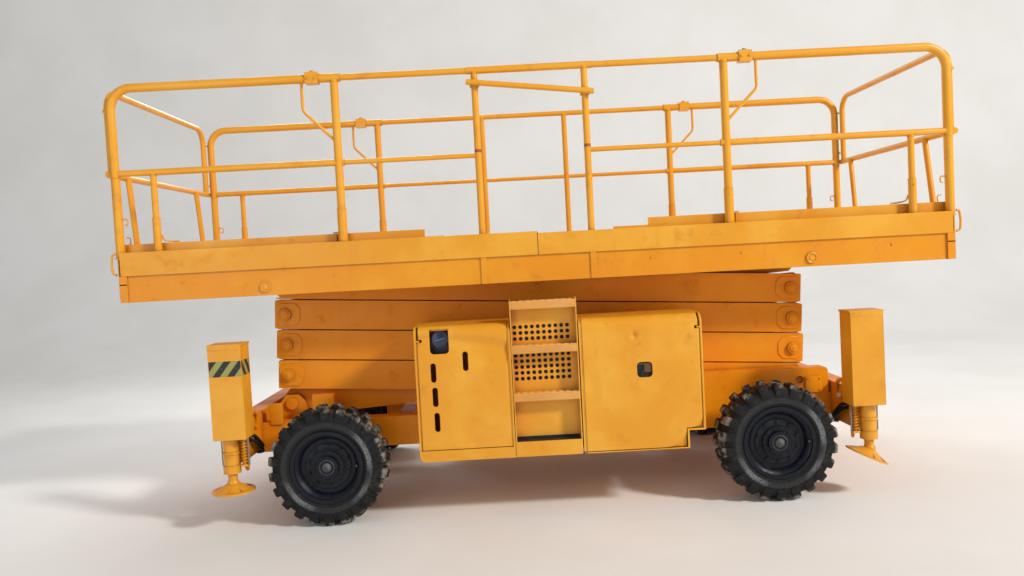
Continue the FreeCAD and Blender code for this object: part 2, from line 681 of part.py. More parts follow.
def pivot_bracket():
    """Plate and foot that carry the first stage's fixed pin on the left side."""
    near = INNER_ARM_OUT + PIVOT_PLATE_GAP
    far = near + PIVOT_PLATE
    front = -PIN_X - PIVOT_PLATE_LENGTH / 2
    back = -PIN_X + PIVOT_PLATE_LENGTH / 2
    crown = PIN_START_Z + PIVOT_PLATE_CROWN
    shoulder = crown - PIVOT_PLATE_SHOULDER
    toe = back + PIVOT_PLATE_TOE
    outline = [(front, CROSS_BOTTOM), (toe, CROSS_BOTTOM), (toe, CROSS_TOP), (back, shoulder),
               (back - PIVOT_PLATE_CHAMFER, crown), (front + PIVOT_PLATE_CHAMFER, crown), (front, shoulder)]
    plate = prism_y(outline, -near, -far)
    bore = rod_y(-PIN_X, PIN_START_Z, PIN_RADIUS + FIT_GAP, -near, -far)
    foot = box(front, back, -far, -RAIL_INNER_Y, CROSS_BOTTOM, CROSS_TOP)
    return [plate.cut(bore), foot]


def tow_lug():
    """Bored lug on the rear outrigger beam."""
    start = RAIL_END_X + OUTRIGGER_LENGTH
    centre = start + TOW_LUG_REACH
    lugs = []
    for y in (-TOW_LUG_Y, TOW_LUG_Y):
        low = y - TOW_LUG_WALL / 2
        high = y + TOW_LUG_WALL / 2
        lug = fuse([box(start, centre, low, high, TOW_LUG_Z - TOW_LUG_RADIUS, TOW_LUG_Z + TOW_LUG_RADIUS),
                    rod_y(centre, TOW_LUG_Z, TOW_LUG_RADIUS, low, high)])
        lugs.append(lug.cut(rod_y(centre, TOW_LUG_Z, TOW_EYE_RADIUS, low, high)))
    return lugs


# Stabilisers

def make_housing():
    """Left rear housing: lidded box with a bored collar at its foot."""
    half = HOUSING_LENGTH / 2
    x0 = STABILISER_X - half
    x1 = STABILISER_X + half
    y0 = -WHEEL_OUT_Y
    y1 = -HOUSING_IN_Y
    wall = HOUSING_WALL
    shell = box(x0, x1, y0, y1, HOUSING_BOTTOM, HOUSING_TOP - HOUSING_LID_WALL)
    room = box(x0 + wall, x1 - wall, y0 + wall, y1 - wall, HOUSING_BOTTOM + HOUSING_COLLAR,
               HOUSING_TOP - HOUSING_LID_WALL - wall)
    lid = box(x0 - HOUSING_LID_LIP, x1 + HOUSING_LID_LIP, y0, y1 + HOUSING_LID_LIP,
              HOUSING_TOP - HOUSING_LID_WALL, HOUSING_TOP)
    middle = (y0 + y1) / 2
    bore = rod_z(LEG_X, middle, LEG_RADIUS + FIT_GAP, HOUSING_BOTTOM, HOUSING_BOTTOM + HOUSING_COLLAR)
    return fuse([shell.cut([room, bore]), lid])


def make_leg(tilt):
    """Left rear leg with its dished foot, tilted on its ball."""
    middle = -WHEEL_OUT_Y + HOUSING_WIDTH / 2
    neck_bottom = LEG_BOTTOM - LEG_NECK_LENGTH
    ball_z = FOOT_BOTTOM + FOOT_RIM + FOOT_CONE
    post = [rod_z(LEG_X, middle, LEG_RADIUS, LEG_BOTTOM, LEG_TOP),
            rod_z(LEG_X, middle, LEG_NECK_RADIUS, neck_bottom, LEG_BOTTOM),
            Part.makeSphere(FOOT_BALL_RADIUS, Vector(LEG_X, middle, ball_z))]
    post += [rod_z(LEG_X, middle, LEG_RING_RADIUS, low, high) for low, high in LEG_RING_LEVELS]
    dish = fuse([rod_z(LEG_X, middle, FOOT_RADIUS, FOOT_BOTTOM, FOOT_BOTTOM + FOOT_RIM),
                 Part.makeCone(FOOT_CONE_RADIUS, FOOT_HUB_RADIUS, FOOT_CONE,
                               Vector(LEG_X, middle, FOOT_BOTTOM + FOOT_RIM))])
    dish.rotate(Vector(LEG_X, middle, ball_z), Vector(0, 1, 0), tilt)
    return fuse(post + [dish])


def make_hose():
    """Left rear hose from the outrigger beam's underside up into the housing."""
    half = HOUSING_LENGTH / 2
    beam_y = -HOUSING_IN_Y + HOSE_SETBACK
    low = OUTRIGGER_BOTTOM - HOSE_SAG
    up_x = STABILISER_X - half + HOSE_SETBACK
    up_y = -HOUSING_IN_Y - HOSE_SETBACK
    points = [Vector(RAIL_END_X + HOSE_SETBACK, beam_y, OUTRIGGER_BOTTOM),
              Vector(RAIL_END_X + HOSE_SETBACK, beam_y, low), Vector(up_x, up_y, low),
              Vector(up_x, up_y, HOUSING_BOTTOM)]
    return tube(points, HOSE_RADIUS, HOSE_BEND)


# Cabinets, doors, ladder, engine

def rolled_block(x0, x1, inset):
    """Left-side block whose top outer edge is rolled over."""
    block = box(x0 + inset, x1 - inset, -WHEEL_OUT_Y + inset, -RAIL_OUTER_Y - inset,
                CABINET_BOTTOM + inset, CABINET_TOP - inset)
    top = CABINET_TOP - inset
    front = -WHEEL_OUT_Y + inset
    edges = [edge for edge in block.Edges
             if abs(edge.CenterOfMass.y - front) < 1 and abs(edge.CenterOfMass.z - top) < 1]
    return block.makeFillet(CABINET_ROLL - inset, edges)


def footed_block(x0, x1, inset):
    """The rolled block with its lower front corner rounded as well."""
    block = rolled_block(x0, x1, inset)
    low = CABINET_BOTTOM + inset
    edges = [edge for edge in block.Edges
             if abs(edge.CenterOfMass.x - x0 - inset) < 1 and abs(edge.CenterOfMass.z - low) < 1]
    return block.makeFillet(CABINET_FOOT - inset, edges)


def notch_block(x1, inset):
    """Space cut from the lower rear corner of the rear cabinet."""
    return box(x1 - NOTCH_LENGTH - inset, x1, -WHEEL_OUT_Y, -RAIL_OUTER_Y, CABINET_BOTTOM,
               CABINET_BOTTOM + NOTCH_HEIGHT + inset)


def door_bottom(name):
    return DOOR_BOTTOM_FRONT if name == "front" else DOOR_BOTTOM_REAR


def make_cabinet(name, x0, x1):
    """Left-side cabinet, open at the front and at the rolled edge, where its door lies."""
    shell = footed_block(x0, x1, 0.0)
    room = footed_block(x0, x1, CABINET_WALL)
    front = -WHEEL_OUT_Y
    mouth = box(x0 + CABINET_JAMB, x1 - CABINET_JAMB, front, front + CABINET_ROLL + DOOR_GAP,
                door_bottom(name) - DOOR_GAP, CABINET_TOP)
    if name == "rear":
        shell = shell.cut(notch_block(x1, 0.0))
        room = room.cut(notch_block(x1, CABINET_WALL))
        corner = box(x1 - NOTCH_LENGTH - CABINET_JAMB, x1, front, -RAIL_OUTER_Y, CABINET_BOTTOM,
                     CABINET_BOTTOM + NOTCH_HEIGHT + CABINET_JAMB)
        mouth = mouth.cut(corner)
    cabinet = shell.cut([room, mouth])
    low = pin_low(name)
    way = -1 if name == "front" else 1
    jamb = x0 if name == "front" else x1
    lugs = []
    for z0, z1 in ((low - DOOR_PIN_LENGTH, low - DOOR_GAP), (HINGE_TOP + DOOR_GAP, HINGE_TOP + DOOR_PIN_LENGTH)):
        lugs.append(box(jamb, jamb - way * DOOR_LUG, front, front + DOOR_WALL, z0, z1))
    bore = rod_z(hinge_x(name, x0, x1), hinge_y(), DOOR_PIN_RADIUS + FIT_GAP, low - DOOR_PIN_LENGTH,
                 HINGE_TOP + DOOR_PIN_LENGTH)
    return fuse([cabinet] + lugs).cut(bore)


def hinge_x(name, x0, x1):
    """Door hinge line: the jamb away from the ladder."""
    reach = CABINET_JAMB + DOOR_GAP + DOOR_WALL / 2
    return x0 + reach if name == "front" else x1 - reach


def hinge_y():
    return -WHEEL_OUT_Y + DOOR_WALL / 2


def pin_low(name):
    """Lower edge of a door at its hinge."""
    if name == "front":
        return DOOR_BOTTOM_FRONT
    return CABINET_BOTTOM + NOTCH_HEIGHT + CABINET_JAMB + DOOR_GAP


def door_skin(x0, x1, low):
    """Front sheet and rolled top edge in one, between two places along X."""
    outer = rolled_block(x0, x1, 0.0)
    inner = rolled_block(x0 - 2 * DOOR_WALL, x1 + 2 * DOOR_WALL, DOOR_WALL)
    foot = box(x0, x1, -WHEEL_OUT_Y + DOOR_WALL, -RAIL_OUTER_Y, CABINET_BOTTOM, CABINET_BOTTOM + 2 * DOOR_WALL)
    reach = box(x0, x1, -WHEEL_OUT_Y, -WHEEL_OUT_Y + CABINET_ROLL, low, CABINET_TOP)
    return outer.cut([inner, foot]).common(reach)


def round_hole(x0, x1, z0, z1, corner):
    """Cutter with its four long edges rounded, through a left-side door."""
    cutter = box(x0, x1, -WHEEL_OUT_Y - DOOR_WALL, -WHEEL_OUT_Y + 2 * DOOR_WALL, z0, z1)
    edges = [edge for edge in cutter.Edges if abs(edge.CenterOfMass.y + WHEEL_OUT_Y - DOOR_WALL / 2) < 1]
    return cutter.makeFillet(corner, edges)


def make_door(name, x0, x1):
    """Left-side door: a sheet with a rolled top, a round hinge edge and two pins."""
    front = -WHEEL_OUT_Y
    x_pin = hinge_x(name, x0, x1)
    low = pin_low(name)
    if name == "front":
        panel = door_skin(x_pin, x1 - CABINET_JAMB - DOOR_FREE_GAP, DOOR_BOTTOM_FRONT)
        lug_end = x0 + DOOR_LUG + DOOR_LUG_RELIEF
    else:
        panel = door_skin(x0 + CABINET_JAMB + DOOR_FREE_GAP, x_pin, DOOR_BOTTOM_REAR)
        gap = CABINET_JAMB + DOOR_GAP
        panel = panel.cut(box(x1 - NOTCH_LENGTH - gap, x1, front, front + DOOR_WALL, CABINET_BOTTOM, low))
        lug_end = x1 - DOOR_LUG - DOOR_LUG_RELIEF
    panel = panel.cut(box(x_pin, lug_end, front, front + DOOR_WALL, HINGE_TOP,
                          HINGE_TOP + DOOR_PIN_LENGTH + DOOR_GAP))
    door = fuse([panel, rod_z(x_pin, hinge_y(), DOOR_WALL / 2, low, HINGE_TOP),
                 rod_z(x_pin, hinge_y(), DOOR_PIN_RADIUS, low - DOOR_PIN_LENGTH, HINGE_TOP + DOOR_PIN_LENGTH)])
    if name == "rear":
        half = HANDLE_HOLE_SIZE / 2
        return door.cut(round_hole(HANDLE_HOLE_X - half, HANDLE_HOLE_X + half, HANDLE_HOLE_Z - half,
                                   HANDLE_HOLE_Z + half, HANDLE_HOLE_CORNER))
    lower = round_hole(WINDOW_X[0], WINDOW_X[1], WINDOW_Z[0], WINDOW_Z[1], WINDOW_CORNER)
    upper = box(WINDOW_X[0], WINDOW_X[1], front, front + 2 * DOOR_WALL, WINDOW_Z[0] + WINDOW_CORNER, WINDOW_Z[1])
    holes = [lower, upper]
    for x, z in SLOT_PLACES:
        middle = SLOT_HEIGHT / 2 - SLOT_WIDTH / 2
        holes += [box(x - SLOT_WIDTH / 2, x + SLOT_WIDTH / 2, front, front + DOOR_WALL, z - middle, z + middle),
                  rod_y(x, z - middle, SLOT_WIDTH / 2, front, front + DOOR_WALL),
                  rod_y(x, z + middle, SLOT_WIDTH / 2, front, front + DOOR_WALL)]
    return door.cut(holes)


def make_centre_box():
    """Closed box between the two cabinets of the right side."""
    x0, x1 = CENTRE_BOX
    y0 = RAIL_OUTER_Y
    y1 = WHEEL_OUT_Y - DOOR_WALL
    wall = CABINET_WALL
    outer = box(x0, x1, y0, y1, CABINET_BOTTOM, CENTRE_BOX_TOP)
    room = box(x0 + wall, x1 - wall, y0 + wall, y1 - wall, CABINET_BOTTOM + wall, CENTRE_BOX_TOP - wall)
    return outer.cut(room)


def make_ladder():
    """Step unit of the left side, with perforated risers between its side plates."""
    x0, x1 = LADDER_SPAN
    front = -WHEEL_OUT_Y
    wall = LADDER_WALL
    back = -LADDER_BACK
    pieces = [box(x, x + wall, front, back, LADDER_BOTTOM, LADDER_TOP) for x in (x0, x1 - wall)]
    for z, lip in TREADS:
        pieces.append(box(x0, x1, front, back, z - TREAD_WALL, z))
        pieces.append(box(x0, x1, front, front + wall, z - lip, z))
    riser = box(x0, x1, -LADDER_RISER_Y, -LADDER_RISER_Y + wall, LADDER_BOTTOM, LADDER_TOP - LADDER_RISER_GAP)
    pieces.append(riser.cut(riser_holes()))
    for x in (x0, x1 - LADDER_BRACKET):
        pieces += [box(x, x + LADDER_BRACKET, back, -RAIL_OUTER_Y, z, z + LADDER_BRACKET)
                   for z in LADDER_BRACKET_LEVELS]
    for x in (x0, x1 - wall):
        pieces.append(box(x, x + wall, back - LADDER_EAR, back + LADDER_EAR, LADDER_BRACKET_LEVELS[0], RAIL_TOP))
    return fuse(pieces)


def riser_holes():
    """Rows of round holes in the two upper risers."""
    x0, x1 = LADDER_SPAN
    start = (x0 + x1) / 2 + RISER_HOLE_SHIFT - (RISER_HOLE_COLUMNS - 1) * RISER_HOLE_PITCH / 2
    near = -LADDER_RISER_Y - LADDER_WALL
    far = -LADDER_RISER_Y + 2 * LADDER_WALL
    holes = []
    for tread, rows, drop in RISER_HOLE_BLOCKS:
        for row in range(rows):
            z = TREADS[tread][0] - drop - row * RISER_HOLE_PITCH
            for column in range(RISER_HOLE_COLUMNS):
                holes.append(rod_y(start + column * RISER_HOLE_PITCH, z, RISER_HOLE_RADIUS, near, far))
    return holes


def make_engine():
    floor = CABINET_BOTTOM + CABINET_WALL
    return box(ENGINE_X - ENGINE_LENGTH / 2, ENGINE_X + ENGINE_LENGTH / 2, -ENGINE_Y - ENGINE_WIDTH / 2,
               -ENGINE_Y + ENGINE_WIDTH / 2, floor, floor + ENGINE_HEIGHT)


# Scissor frames

def arm_outline():
    """Arm seen from the side: pins at 0 and the arm's length, ends cut to half hexagons."""
    half = ARM_HEIGHT / 2
    far = ARM_LENGTH + ARM_CORNER
    end = ARM_LENGTH + ARM_END
    return [(-ARM_END, -ARM_END_HALF), (-ARM_CORNER, -half), (far, -half), (end, -ARM_END_HALF),
            (end, ARM_END_HALF), (far, half), (-ARM_CORNER, half), (-ARM_END, ARM_END_HALF)]


def make_arm(inner_y):
    """Hollow box arm on the right side, lying along X, with a sleeve at each pin."""
    outer_y = inner_y + ARM_WIDTH
    arm = prism_y(arm_outline(), inner_y, outer_y)
    half = ARM_HEIGHT / 2 - ARM_WALL
    room = box(-ARM_CORNER + ARM_WALL, ARM_LENGTH + ARM_CORNER - ARM_WALL, inner_y + ARM_WALL,
               outer_y - ARM_WALL, -half, half)
    sleeves = [rod_y(x, 0, PIN_RADIUS + PIN_SLEEVE, inner_y, outer_y) for x in arm_pins()]
    return fuse([arm.cut(room)] + sleeves)


def arm_pins():
    return (0.0, ARM_LENGTH / 2, ARM_LENGTH)


def end_plate(way):
    """Welded plate round an end pin, on the outer face of an outer arm."""
    back = -END_PLATE_BACK
    front = END_PLATE_FRONT
    outline = [(back, -END_PLATE_FLAT), (back + END_PLATE_SHOULDER, -END_PLATE_HALF),
               (front - END_PLATE_SHOULDER, -END_PLATE_HALF), (front, -END_PLATE_FLAT), (front, END_PLATE_FLAT),
               (front - END_PLATE_SHOULDER, END_PLATE_HALF), (back + END_PLATE_SHOULDER, END_PLATE_HALF),
               (back, END_PLATE_FLAT)]
    return prism_y([(way * x, z) for x, z in outline], OUTER_ARM_OUT, OUTER_ARM_OUT + END_PLATE)


def lay(shape, rising, stage):
    """Turn an arm that lies along X into its rest slope, at one stage of the stack."""
    placed = shape.copy()
    low = PIN_START_Z + (stage - 1) * STAGE_RISE
    placed.rotate(Vector(0, 0, 0), Vector(0, 1, 0), -REST_SLOPE if rising else REST_SLOPE)
    placed.translate(Vector(-PIN_X, 0, low if rising else low + STAGE_RISE))
    return placed


def pin_and_head(x, start, end, head):
    """Right-side pin along Y with its round head."""
    return [rod_y(x, 0, PIN_RADIUS, start, end), rod_y(x, 0, PIN_HEAD_RADIUS, end, end + head)]


def roller(x, start):
    """Right-side stub and roller that run in a track."""
    return [rod_y(x, 0, PIN_RADIUS, start, ROLLER_Y),
            rod_y(x, 0, ROLLER_RADIUS, ROLLER_Y, ROLLER_Y + ROLLER_WIDTH)]


def make_inner_frame(stage):
    """Two inner arms joined by tubes on their end pins' lines."""
    arm = make_arm(INNER_ARM_Y)
    bore = rod_y(ARM_LENGTH / 2, 0, PIN_RADIUS + FIT_GAP, INNER_ARM_Y, INNER_ARM_OUT)
    side = [arm.cut(bore)]
    if stage == 1:
        end = INNER_ARM_OUT + PIVOT_PLATE_GAP + PIVOT_PLATE + HEAD_GAP
        side += pin_and_head(0, INNER_ARM_OUT, end, PIN_HEAD)
    else:
        side += pin_and_head(0, INNER_ARM_OUT, PIN_OUT_Y, PIN_HEAD)
    if stage == STAGES:
        side += roller(ARM_LENGTH, INNER_ARM_OUT)
    else:
        side += pin_and_head(ARM_LENGTH, INNER_ARM_OUT, PIN_OUT_Y, PIN_HEAD)
    pieces = both_sides(side)
    for x in (0, ARM_LENGTH):
        pieces.append(rod_y(x, 0, CROSS_TUBE_RADIUS, -INNER_ARM_Y, INNER_ARM_Y))
    if stage % 2:
        pieces.append(rod_y(CYLINDER_FOOT, 0, CYLINDER_TUBE_RADIUS, -INNER_ARM_Y, INNER_ARM_Y))
    else:
        pieces += fork()
    return lay(fuse(pieces), True, stage)


def fork():
    """Cross tube and two plates that take a cylinder rod's eye."""
    x = CYLINDER_HEAD + FORK_TUBE_AHEAD
    near = ROD_EYE_WIDTH / 2 + FORK_GAP
    pieces = [rod_y(x, FORK_TUBE_ABOVE, CYLINDER_TUBE_RADIUS, -INNER_ARM_Y, INNER_ARM_Y)]
    outline = [(CYLINDER_HEAD - FORK_RADIUS, -CYLINDER_HEAD_DROP - FORK_FLAT),
               (CYLINDER_HEAD - FORK_FLAT, -CYLINDER_HEAD_DROP - FORK_RADIUS),
               (CYLINDER_HEAD + FORK_FLAT, -CYLINDER_HEAD_DROP - FORK_RADIUS),
               (x + CYLINDER_TUBE_RADIUS, FORK_TUBE_ABOVE), (x, FORK_TUBE_ABOVE + CYLINDER_TUBE_RADIUS / 2),
               (CYLINDER_HEAD - FORK_RADIUS, -CYLINDER_HEAD_DROP + FORK_FLAT)]
    plate = prism_y(outline, near, near + FORK_PLATE)
    hole = rod_y(CYLINDER_HEAD, -CYLINDER_HEAD_DROP, ROD_EYE_BORE, near, near + FORK_PLATE)
    return pieces + both_sides([plate.cut(hole)])


def make_outer_frame(stage):
    """Near and far outer arms of a stage, each with its own centre pin."""
    arm = make_arm(OUTER_ARM_Y)
    pieces = [arm, end_plate(1)]
    far_plate = end_plate(-1)
    far_plate.translate(Vector(ARM_LENGTH, 0, 0))
    pieces.append(far_plate)
    for x in arm_pins():
        pieces.append(rod_y(x, 0, PIN_RADIUS + PIN_SLEEVE, OUTER_ARM_Y - SPACER_WIDTH, OUTER_ARM_Y))
    head_y = INNER_ARM_Y - HEAD_GAP
    pieces.append(rod_y(ARM_LENGTH / 2, 0, PIN_RADIUS, head_y, OUTER_ARM_Y))
    pieces.append(rod_y(ARM_LENGTH / 2, 0, PIN_HEAD_RADIUS, head_y - PIN_HEAD, head_y))
    if stage == 1:
        pieces += roller(ARM_LENGTH, OUTER_ARM_OUT)
    arm = fuse(pieces)
    bored = (0,) if stage == 1 else (0, ARM_LENGTH)
    arm = arm.cut([rod_y(x, 0, PIN_RADIUS + FIT_GAP, OUTER_ARM_Y - SPACER_WIDTH, OUTER_ARM_OUT + END_PLATE)
                   for x in bored])
    return lay(Part.makeCompound(both_sides([arm])), False, stage)


# Lift cylinders

def cylinder_ends(slope_deg):
    """Foot and head points (x, z) of the first pair's cylinder at one slope of the arms."""
    slope = math.radians(slope_deg)
    along = Vector(math.cos(slope), 0, math.sin(slope))
    up = Vector(-math.sin(slope), 0, math.cos(slope))
    base = Vector(-PIN_X, 0, PIN_START_Z)
    second = base + Vector(0, 0, ARM_LENGTH * math.sin(slope))
    return base + along * CYLINDER_FOOT, second + along * CYLINDER_HEAD - up * CYLINDER_HEAD_DROP


def cylinder_span():
    foot, head = cylinder_ends(REST_SLOPE)
    return (head - foot).Length


def lay_cylinder(shape, pair):
    """Turn a cylinder that stands on the origin along Z into its rest place."""
    foot, head = cylinder_ends(REST_SLOPE)
    placed = shape.copy()
    placed.rotate(Vector(0, 0, 0), Vector(0, 1, 0), math.degrees(math.atan2(head.x - foot.x, head.z - foot.z)))
    placed.translate(foot + Vector(0, 0, pair * 2 * STAGE_RISE))
    return placed


def make_barrel(pair):
    end = cylinder_span() - BARREL_GAP
    half = BARREL_EYE_WIDTH / 2
    body = fuse([rod_y(0, 0, BARREL_RADIUS, -half, half), rod_z(0, 0, BARREL_RADIUS, BARREL_START, end)])
    eye = rod_y(0, 0, CYLINDER_TUBE_RADIUS + FIT_GAP, -BARREL_RADIUS, BARREL_RADIUS)
    bore = rod_z(0, 0, ROD_RADIUS + FIT_GAP, BARREL_FLOOR, end)
    return lay_cylinder(body.cut([eye, bore]), pair)


def make_rod(pair):
    span = cylinder_span()
    half = ROD_EYE_WIDTH / 2
    rod = fuse([rod_z(0, 0, ROD_RADIUS, ROD_START, span), rod_y(0, span, ROD_EYE_RADIUS, -half, half)])
    return lay_cylinder(rod.cut(rod_y(0, span, ROD_EYE_BORE, -half, half)), pair)


# Platform

def make_platform_frame():
    """Perimeter channels, roller tracks, joists and the pivot plates of the top pins."""
    length = PLATFORM_HALF_LENGTH
    wide = PLATFORM_HALF_WIDTH
    web = -wide + BEAM_INSET
    flange = BEAM_FLANGE_WALL
    side = [box(-length, length, web, web + BEAM_WEB, BEAM_BOTTOM, BEAM_TOP),
            box(-length, length, web, web + BEAM_FLANGE, BEAM_BOTTOM, BEAM_BOTTOM + flange),
            box(-length, length, web, web + BEAM_FLANGE, BEAM_TOP - flange, BEAM_TOP)]
    for x in (-PIN_X, PIN_X):
        side.append(rod_y(x, TOP_PIN_Z, BEAM_BOSS_RADIUS, web, web - BEAM_BOSS_WALL))
    for x in (-FIXED_POST_X, FIXED_POST_X):
        side.append(box(x - STIFFENER_LENGTH / 2, x + STIFFENER_LENGTH / 2, web, web - STIFFENER_WALL,
                        BEAM_BOTTOM, BEAM_TOP))
    proud = length + END_PLATE_PROUD
    for way in (-1, 1):
        side.append(box(way * (proud - END_PLATE_LENGTH), way * proud, -wide, web + BEAM_WEB, BEAM_BOTTOM,
                        BEAM_TOP))
    roof = TOP_PIN_Z + ROLLER_RADIUS + ROLLER_GAP
    floor = TOP_PIN_Z - ROLLER_RADIUS - ROLLER_GAP
    start = -PIN_X - JOIST_LENGTH
    outer_y = -RAIL_OUTER_Y
    side.append(box(start, TRACK_END_X, outer_y, -RAIL_INNER_Y, roof, roof + TRACK_WEB))
    side.append(box(start, TRACK_END_X, outer_y, outer_y + TRACK_WEB, roof, BEAM_TOP))
    side.append(box(TRACK_START_X, TRACK_END_X, outer_y, outer_y + TRACK_WEB, floor - TRACK_WEB, roof))
    side.append(box(TRACK_START_X, TRACK_END_X, outer_y, -RAIL_INNER_Y, floor - TRACK_WEB, floor))
    side += platform_pivot()
    pieces = both_sides(side)
    for x in (-length, length - BEAM_FLANGE):
        pieces.append(box(x, x + BEAM_FLANGE, web, -web, BEAM_BOTTOM, BEAM_TOP))
    for x in (-PIN_X,) + JOIST_PLACES:
        pieces.append(box(x - JOIST_LENGTH / 2, x + JOIST_LENGTH / 2, -wide + SKIRT_WALL, wide - SKIRT_WALL,
                          BEAM_TOP - flange, JOIST_TOP))
    return fuse(pieces)


def platform_pivot():
    """Hanging plate and pin that carry the top stage's fixed end on the left side."""
    outer = OUTER_ARM_Y - SPACER_WIDTH - MOVING_GAP
    half = PLATFORM_PLATE_LENGTH / 2
    flat = half - PLATFORM_PLATE_CHAMFER
    low = TOP_PIN_Z - half
    shoulder = low + PLATFORM_PLATE_CHAMFER
    outline = [(-PIN_X - half, BEAM_TOP), (-PIN_X - half, shoulder), (-PIN_X - flat, low),
               (-PIN_X + flat, low), (-PIN_X + half, shoulder), (-PIN_X + half, BEAM_TOP)]
    plate = prism_y(outline, -outer, -outer + PLATFORM_PLATE)
    pin = rod_y(-PIN_X, TOP_PIN_Z, PIN_RADIUS, -outer, -PIN_OUT_Y)
    head = rod_y(-PIN_X, TOP_PIN_Z, PIN_HEAD_RADIUS, -PIN_OUT_Y, -PIN_OUT_Y - PIN_HEAD / 2)
    return [plate, pin, head]


def make_platform_deck():
    """Floor sheet on ribs, and the side skirts in two pieces a side."""
    length = PLATFORM_HALF_LENGTH
    wide = PLATFORM_HALF_WIDTH
    inner = wide - SKIRT_WALL
    sheet = box(-length, length, -inner, inner, FLOOR_TOP - FLOOR_WALL, FLOOR_TOP)
    ribs = [box(-length, length, y - BEAM_WEB, y + BEAM_WEB, JOIST_TOP, FLOOR_TOP - FLOOR_WALL)
            for y in (-RAIL_INNER_Y, 0, RAIL_INNER_Y)]
    skirts = both_sides([box(-length, 0, -wide, -inner, BEAM_TOP, SKIRT_TOP),
                         box(0, length, -wide, -inner, BEAM_TOP, SKIRT_TOP - SKIRT_SEAM)])
    ends = [box(x, x + BEAM_WEB, -inner, inner, BEAM_TOP, FLOOR_TOP - FLOOR_WALL)
            for x in (-length, length - BEAM_WEB)]
    return fuse([sheet] + ribs + skirts + ends)


def make_fixed_rails():
    """Rails and posts that stay on the middle of the platform, one solid a side."""
    end = FIXED_RAIL_END
    y = RAIL_LINE_Y
    posts = [rod_z(x, y, FIXED_POST_RADIUS, FLOOR_TOP, RAIL_TOP_Z) for x in (-FIXED_POST_X, FIXED_POST_X)]
    top = rod_x(y, RAIL_TOP_Z, FIXED_RAIL_RADIUS, -end, end)
    right = fuse(posts + [top, rod_x(y, RAIL_MID_Z, FIXED_MID_RADIUS, -end, end)])
    reach = FIXED_POST_X + ENTRANCE_SLEEVE_REACH
    sleeve = rod_x(-y, RAIL_TOP_Z, ENTRANCE_SLEEVE_RADIUS, -reach, reach)
    left = fuse([mirror_y(piece) for piece in posts + [top]]
                + [sleeve, rod_x(-y, RAIL_MID_Z, FIXED_MID_RADIUS, -end, -FIXED_POST_X),
                   rod_x(-y, RAIL_MID_Z, FIXED_MID_RADIUS, FIXED_POST_X, end)])
    return Part.makeCompound([left, right])


def make_extension_deck():
    """Rear deck: sheet on three runners, toe boards, an end board and the apron below it."""
    sheet = box(DECK_INNER_X, DECK_OUTER_X, -DECK_HALF_WIDTH, DECK_HALF_WIDTH, DECK_BOTTOM, DECK_TOP)
    runners = [box(DECK_INNER_X, DECK_OUTER_X, y - RUNNER_WIDTH / 2, y + RUNNER_WIDTH / 2,
                   FLOOR_TOP + RUNNER_GAP, DECK_BOTTOM) for y in RUNNER_LINES]
    boards = both_sides([box(DECK_INNER_X, DECK_OUTER_X, -TOE_BOARD_Y, -TOE_BOARD_Y + TOE_BOARD_WALL, DECK_TOP,
                             TOE_BOARD_TOP)])
    end = box(DECK_OUTER_X - TOE_BOARD_WALL, DECK_OUTER_X, -TOE_BOARD_Y, TOE_BOARD_Y, DECK_TOP, TOE_BOARD_TOP)
    apron = box(DECK_OUTER_X - APRON_WALL, DECK_OUTER_X, -DECK_HALF_WIDTH, DECK_HALF_WIDTH,
                BEAM_BOTTOM + APRON_RISE, DECK_BOTTOM)
    return fuse([sheet] + runners + boards + [end, apron])


def side_frame():
    """Left rear side frame of an extension: bent top tube, posts, brace and rail clamp."""
    y = -RAIL_LINE_Y
    start = SLIDE_POST_X - SLIDE_RAIL_OVERHANG
    corner = tube([Vector(start, y, RAIL_TOP_Z), Vector(CORNER_X, y, RAIL_TOP_Z), Vector(CORNER_X, y, DECK_TOP)],
                  SLIDE_TOP_RADIUS, CORNER_BEND)
    brace_x = SLIDE_POST_X + BRACE_START
    brace = tube([Vector(brace_x, y, RAIL_TOP_Z - SLIDE_TOP_RADIUS + BRACE_SINK),
                  Vector(brace_x, y, RAIL_TOP_Z - BRACE_KNEE_DROP),
                  Vector(SLIDE_POST_X, y, RAIL_TOP_Z - BRACE_FOOT_DROP)], BRACE_RADIUS, BRACE_BEND)
    clamp_x = SLIDE_POST_X + CLAMP_START
    knob_x = clamp_x + CLAMP_LENGTH / 2
    return [corner, rod_x(y, RAIL_MID_Z, SLIDE_MID_RADIUS, start, CORNER_X),
            rod_z(SLIDE_POST_X, y, SLIDE_POST_RADIUS, DECK_TOP, RAIL_TOP_Z),
            rod_z(SLIDE_POST_X, y, SOCKET_RADIUS, DECK_TOP, DECK_TOP + SOCKET_HEIGHT),
            rod_z(SHORT_POST_X, y, SHORT_POST_RADIUS, DECK_TOP, RAIL_MID_Z),
            rod_z(SHORT_POST_X, y, SHORT_SOCKET_RADIUS, DECK_TOP, DECK_TOP + SOCKET_HEIGHT),
            brace,
            box(clamp_x, clamp_x + CLAMP_LENGTH, y - CLAMP_HALF, y + CLAMP_HALF, RAIL_TOP_Z - CLAMP_HALF,
                RAIL_TOP_Z + CLAMP_HALF),
            rod_z(knob_x, y, CLAMP_KNOB_RADIUS, RAIL_TOP_Z + CLAMP_HALF, RAIL_TOP_Z + CLAMP_KNOB_TOP)]


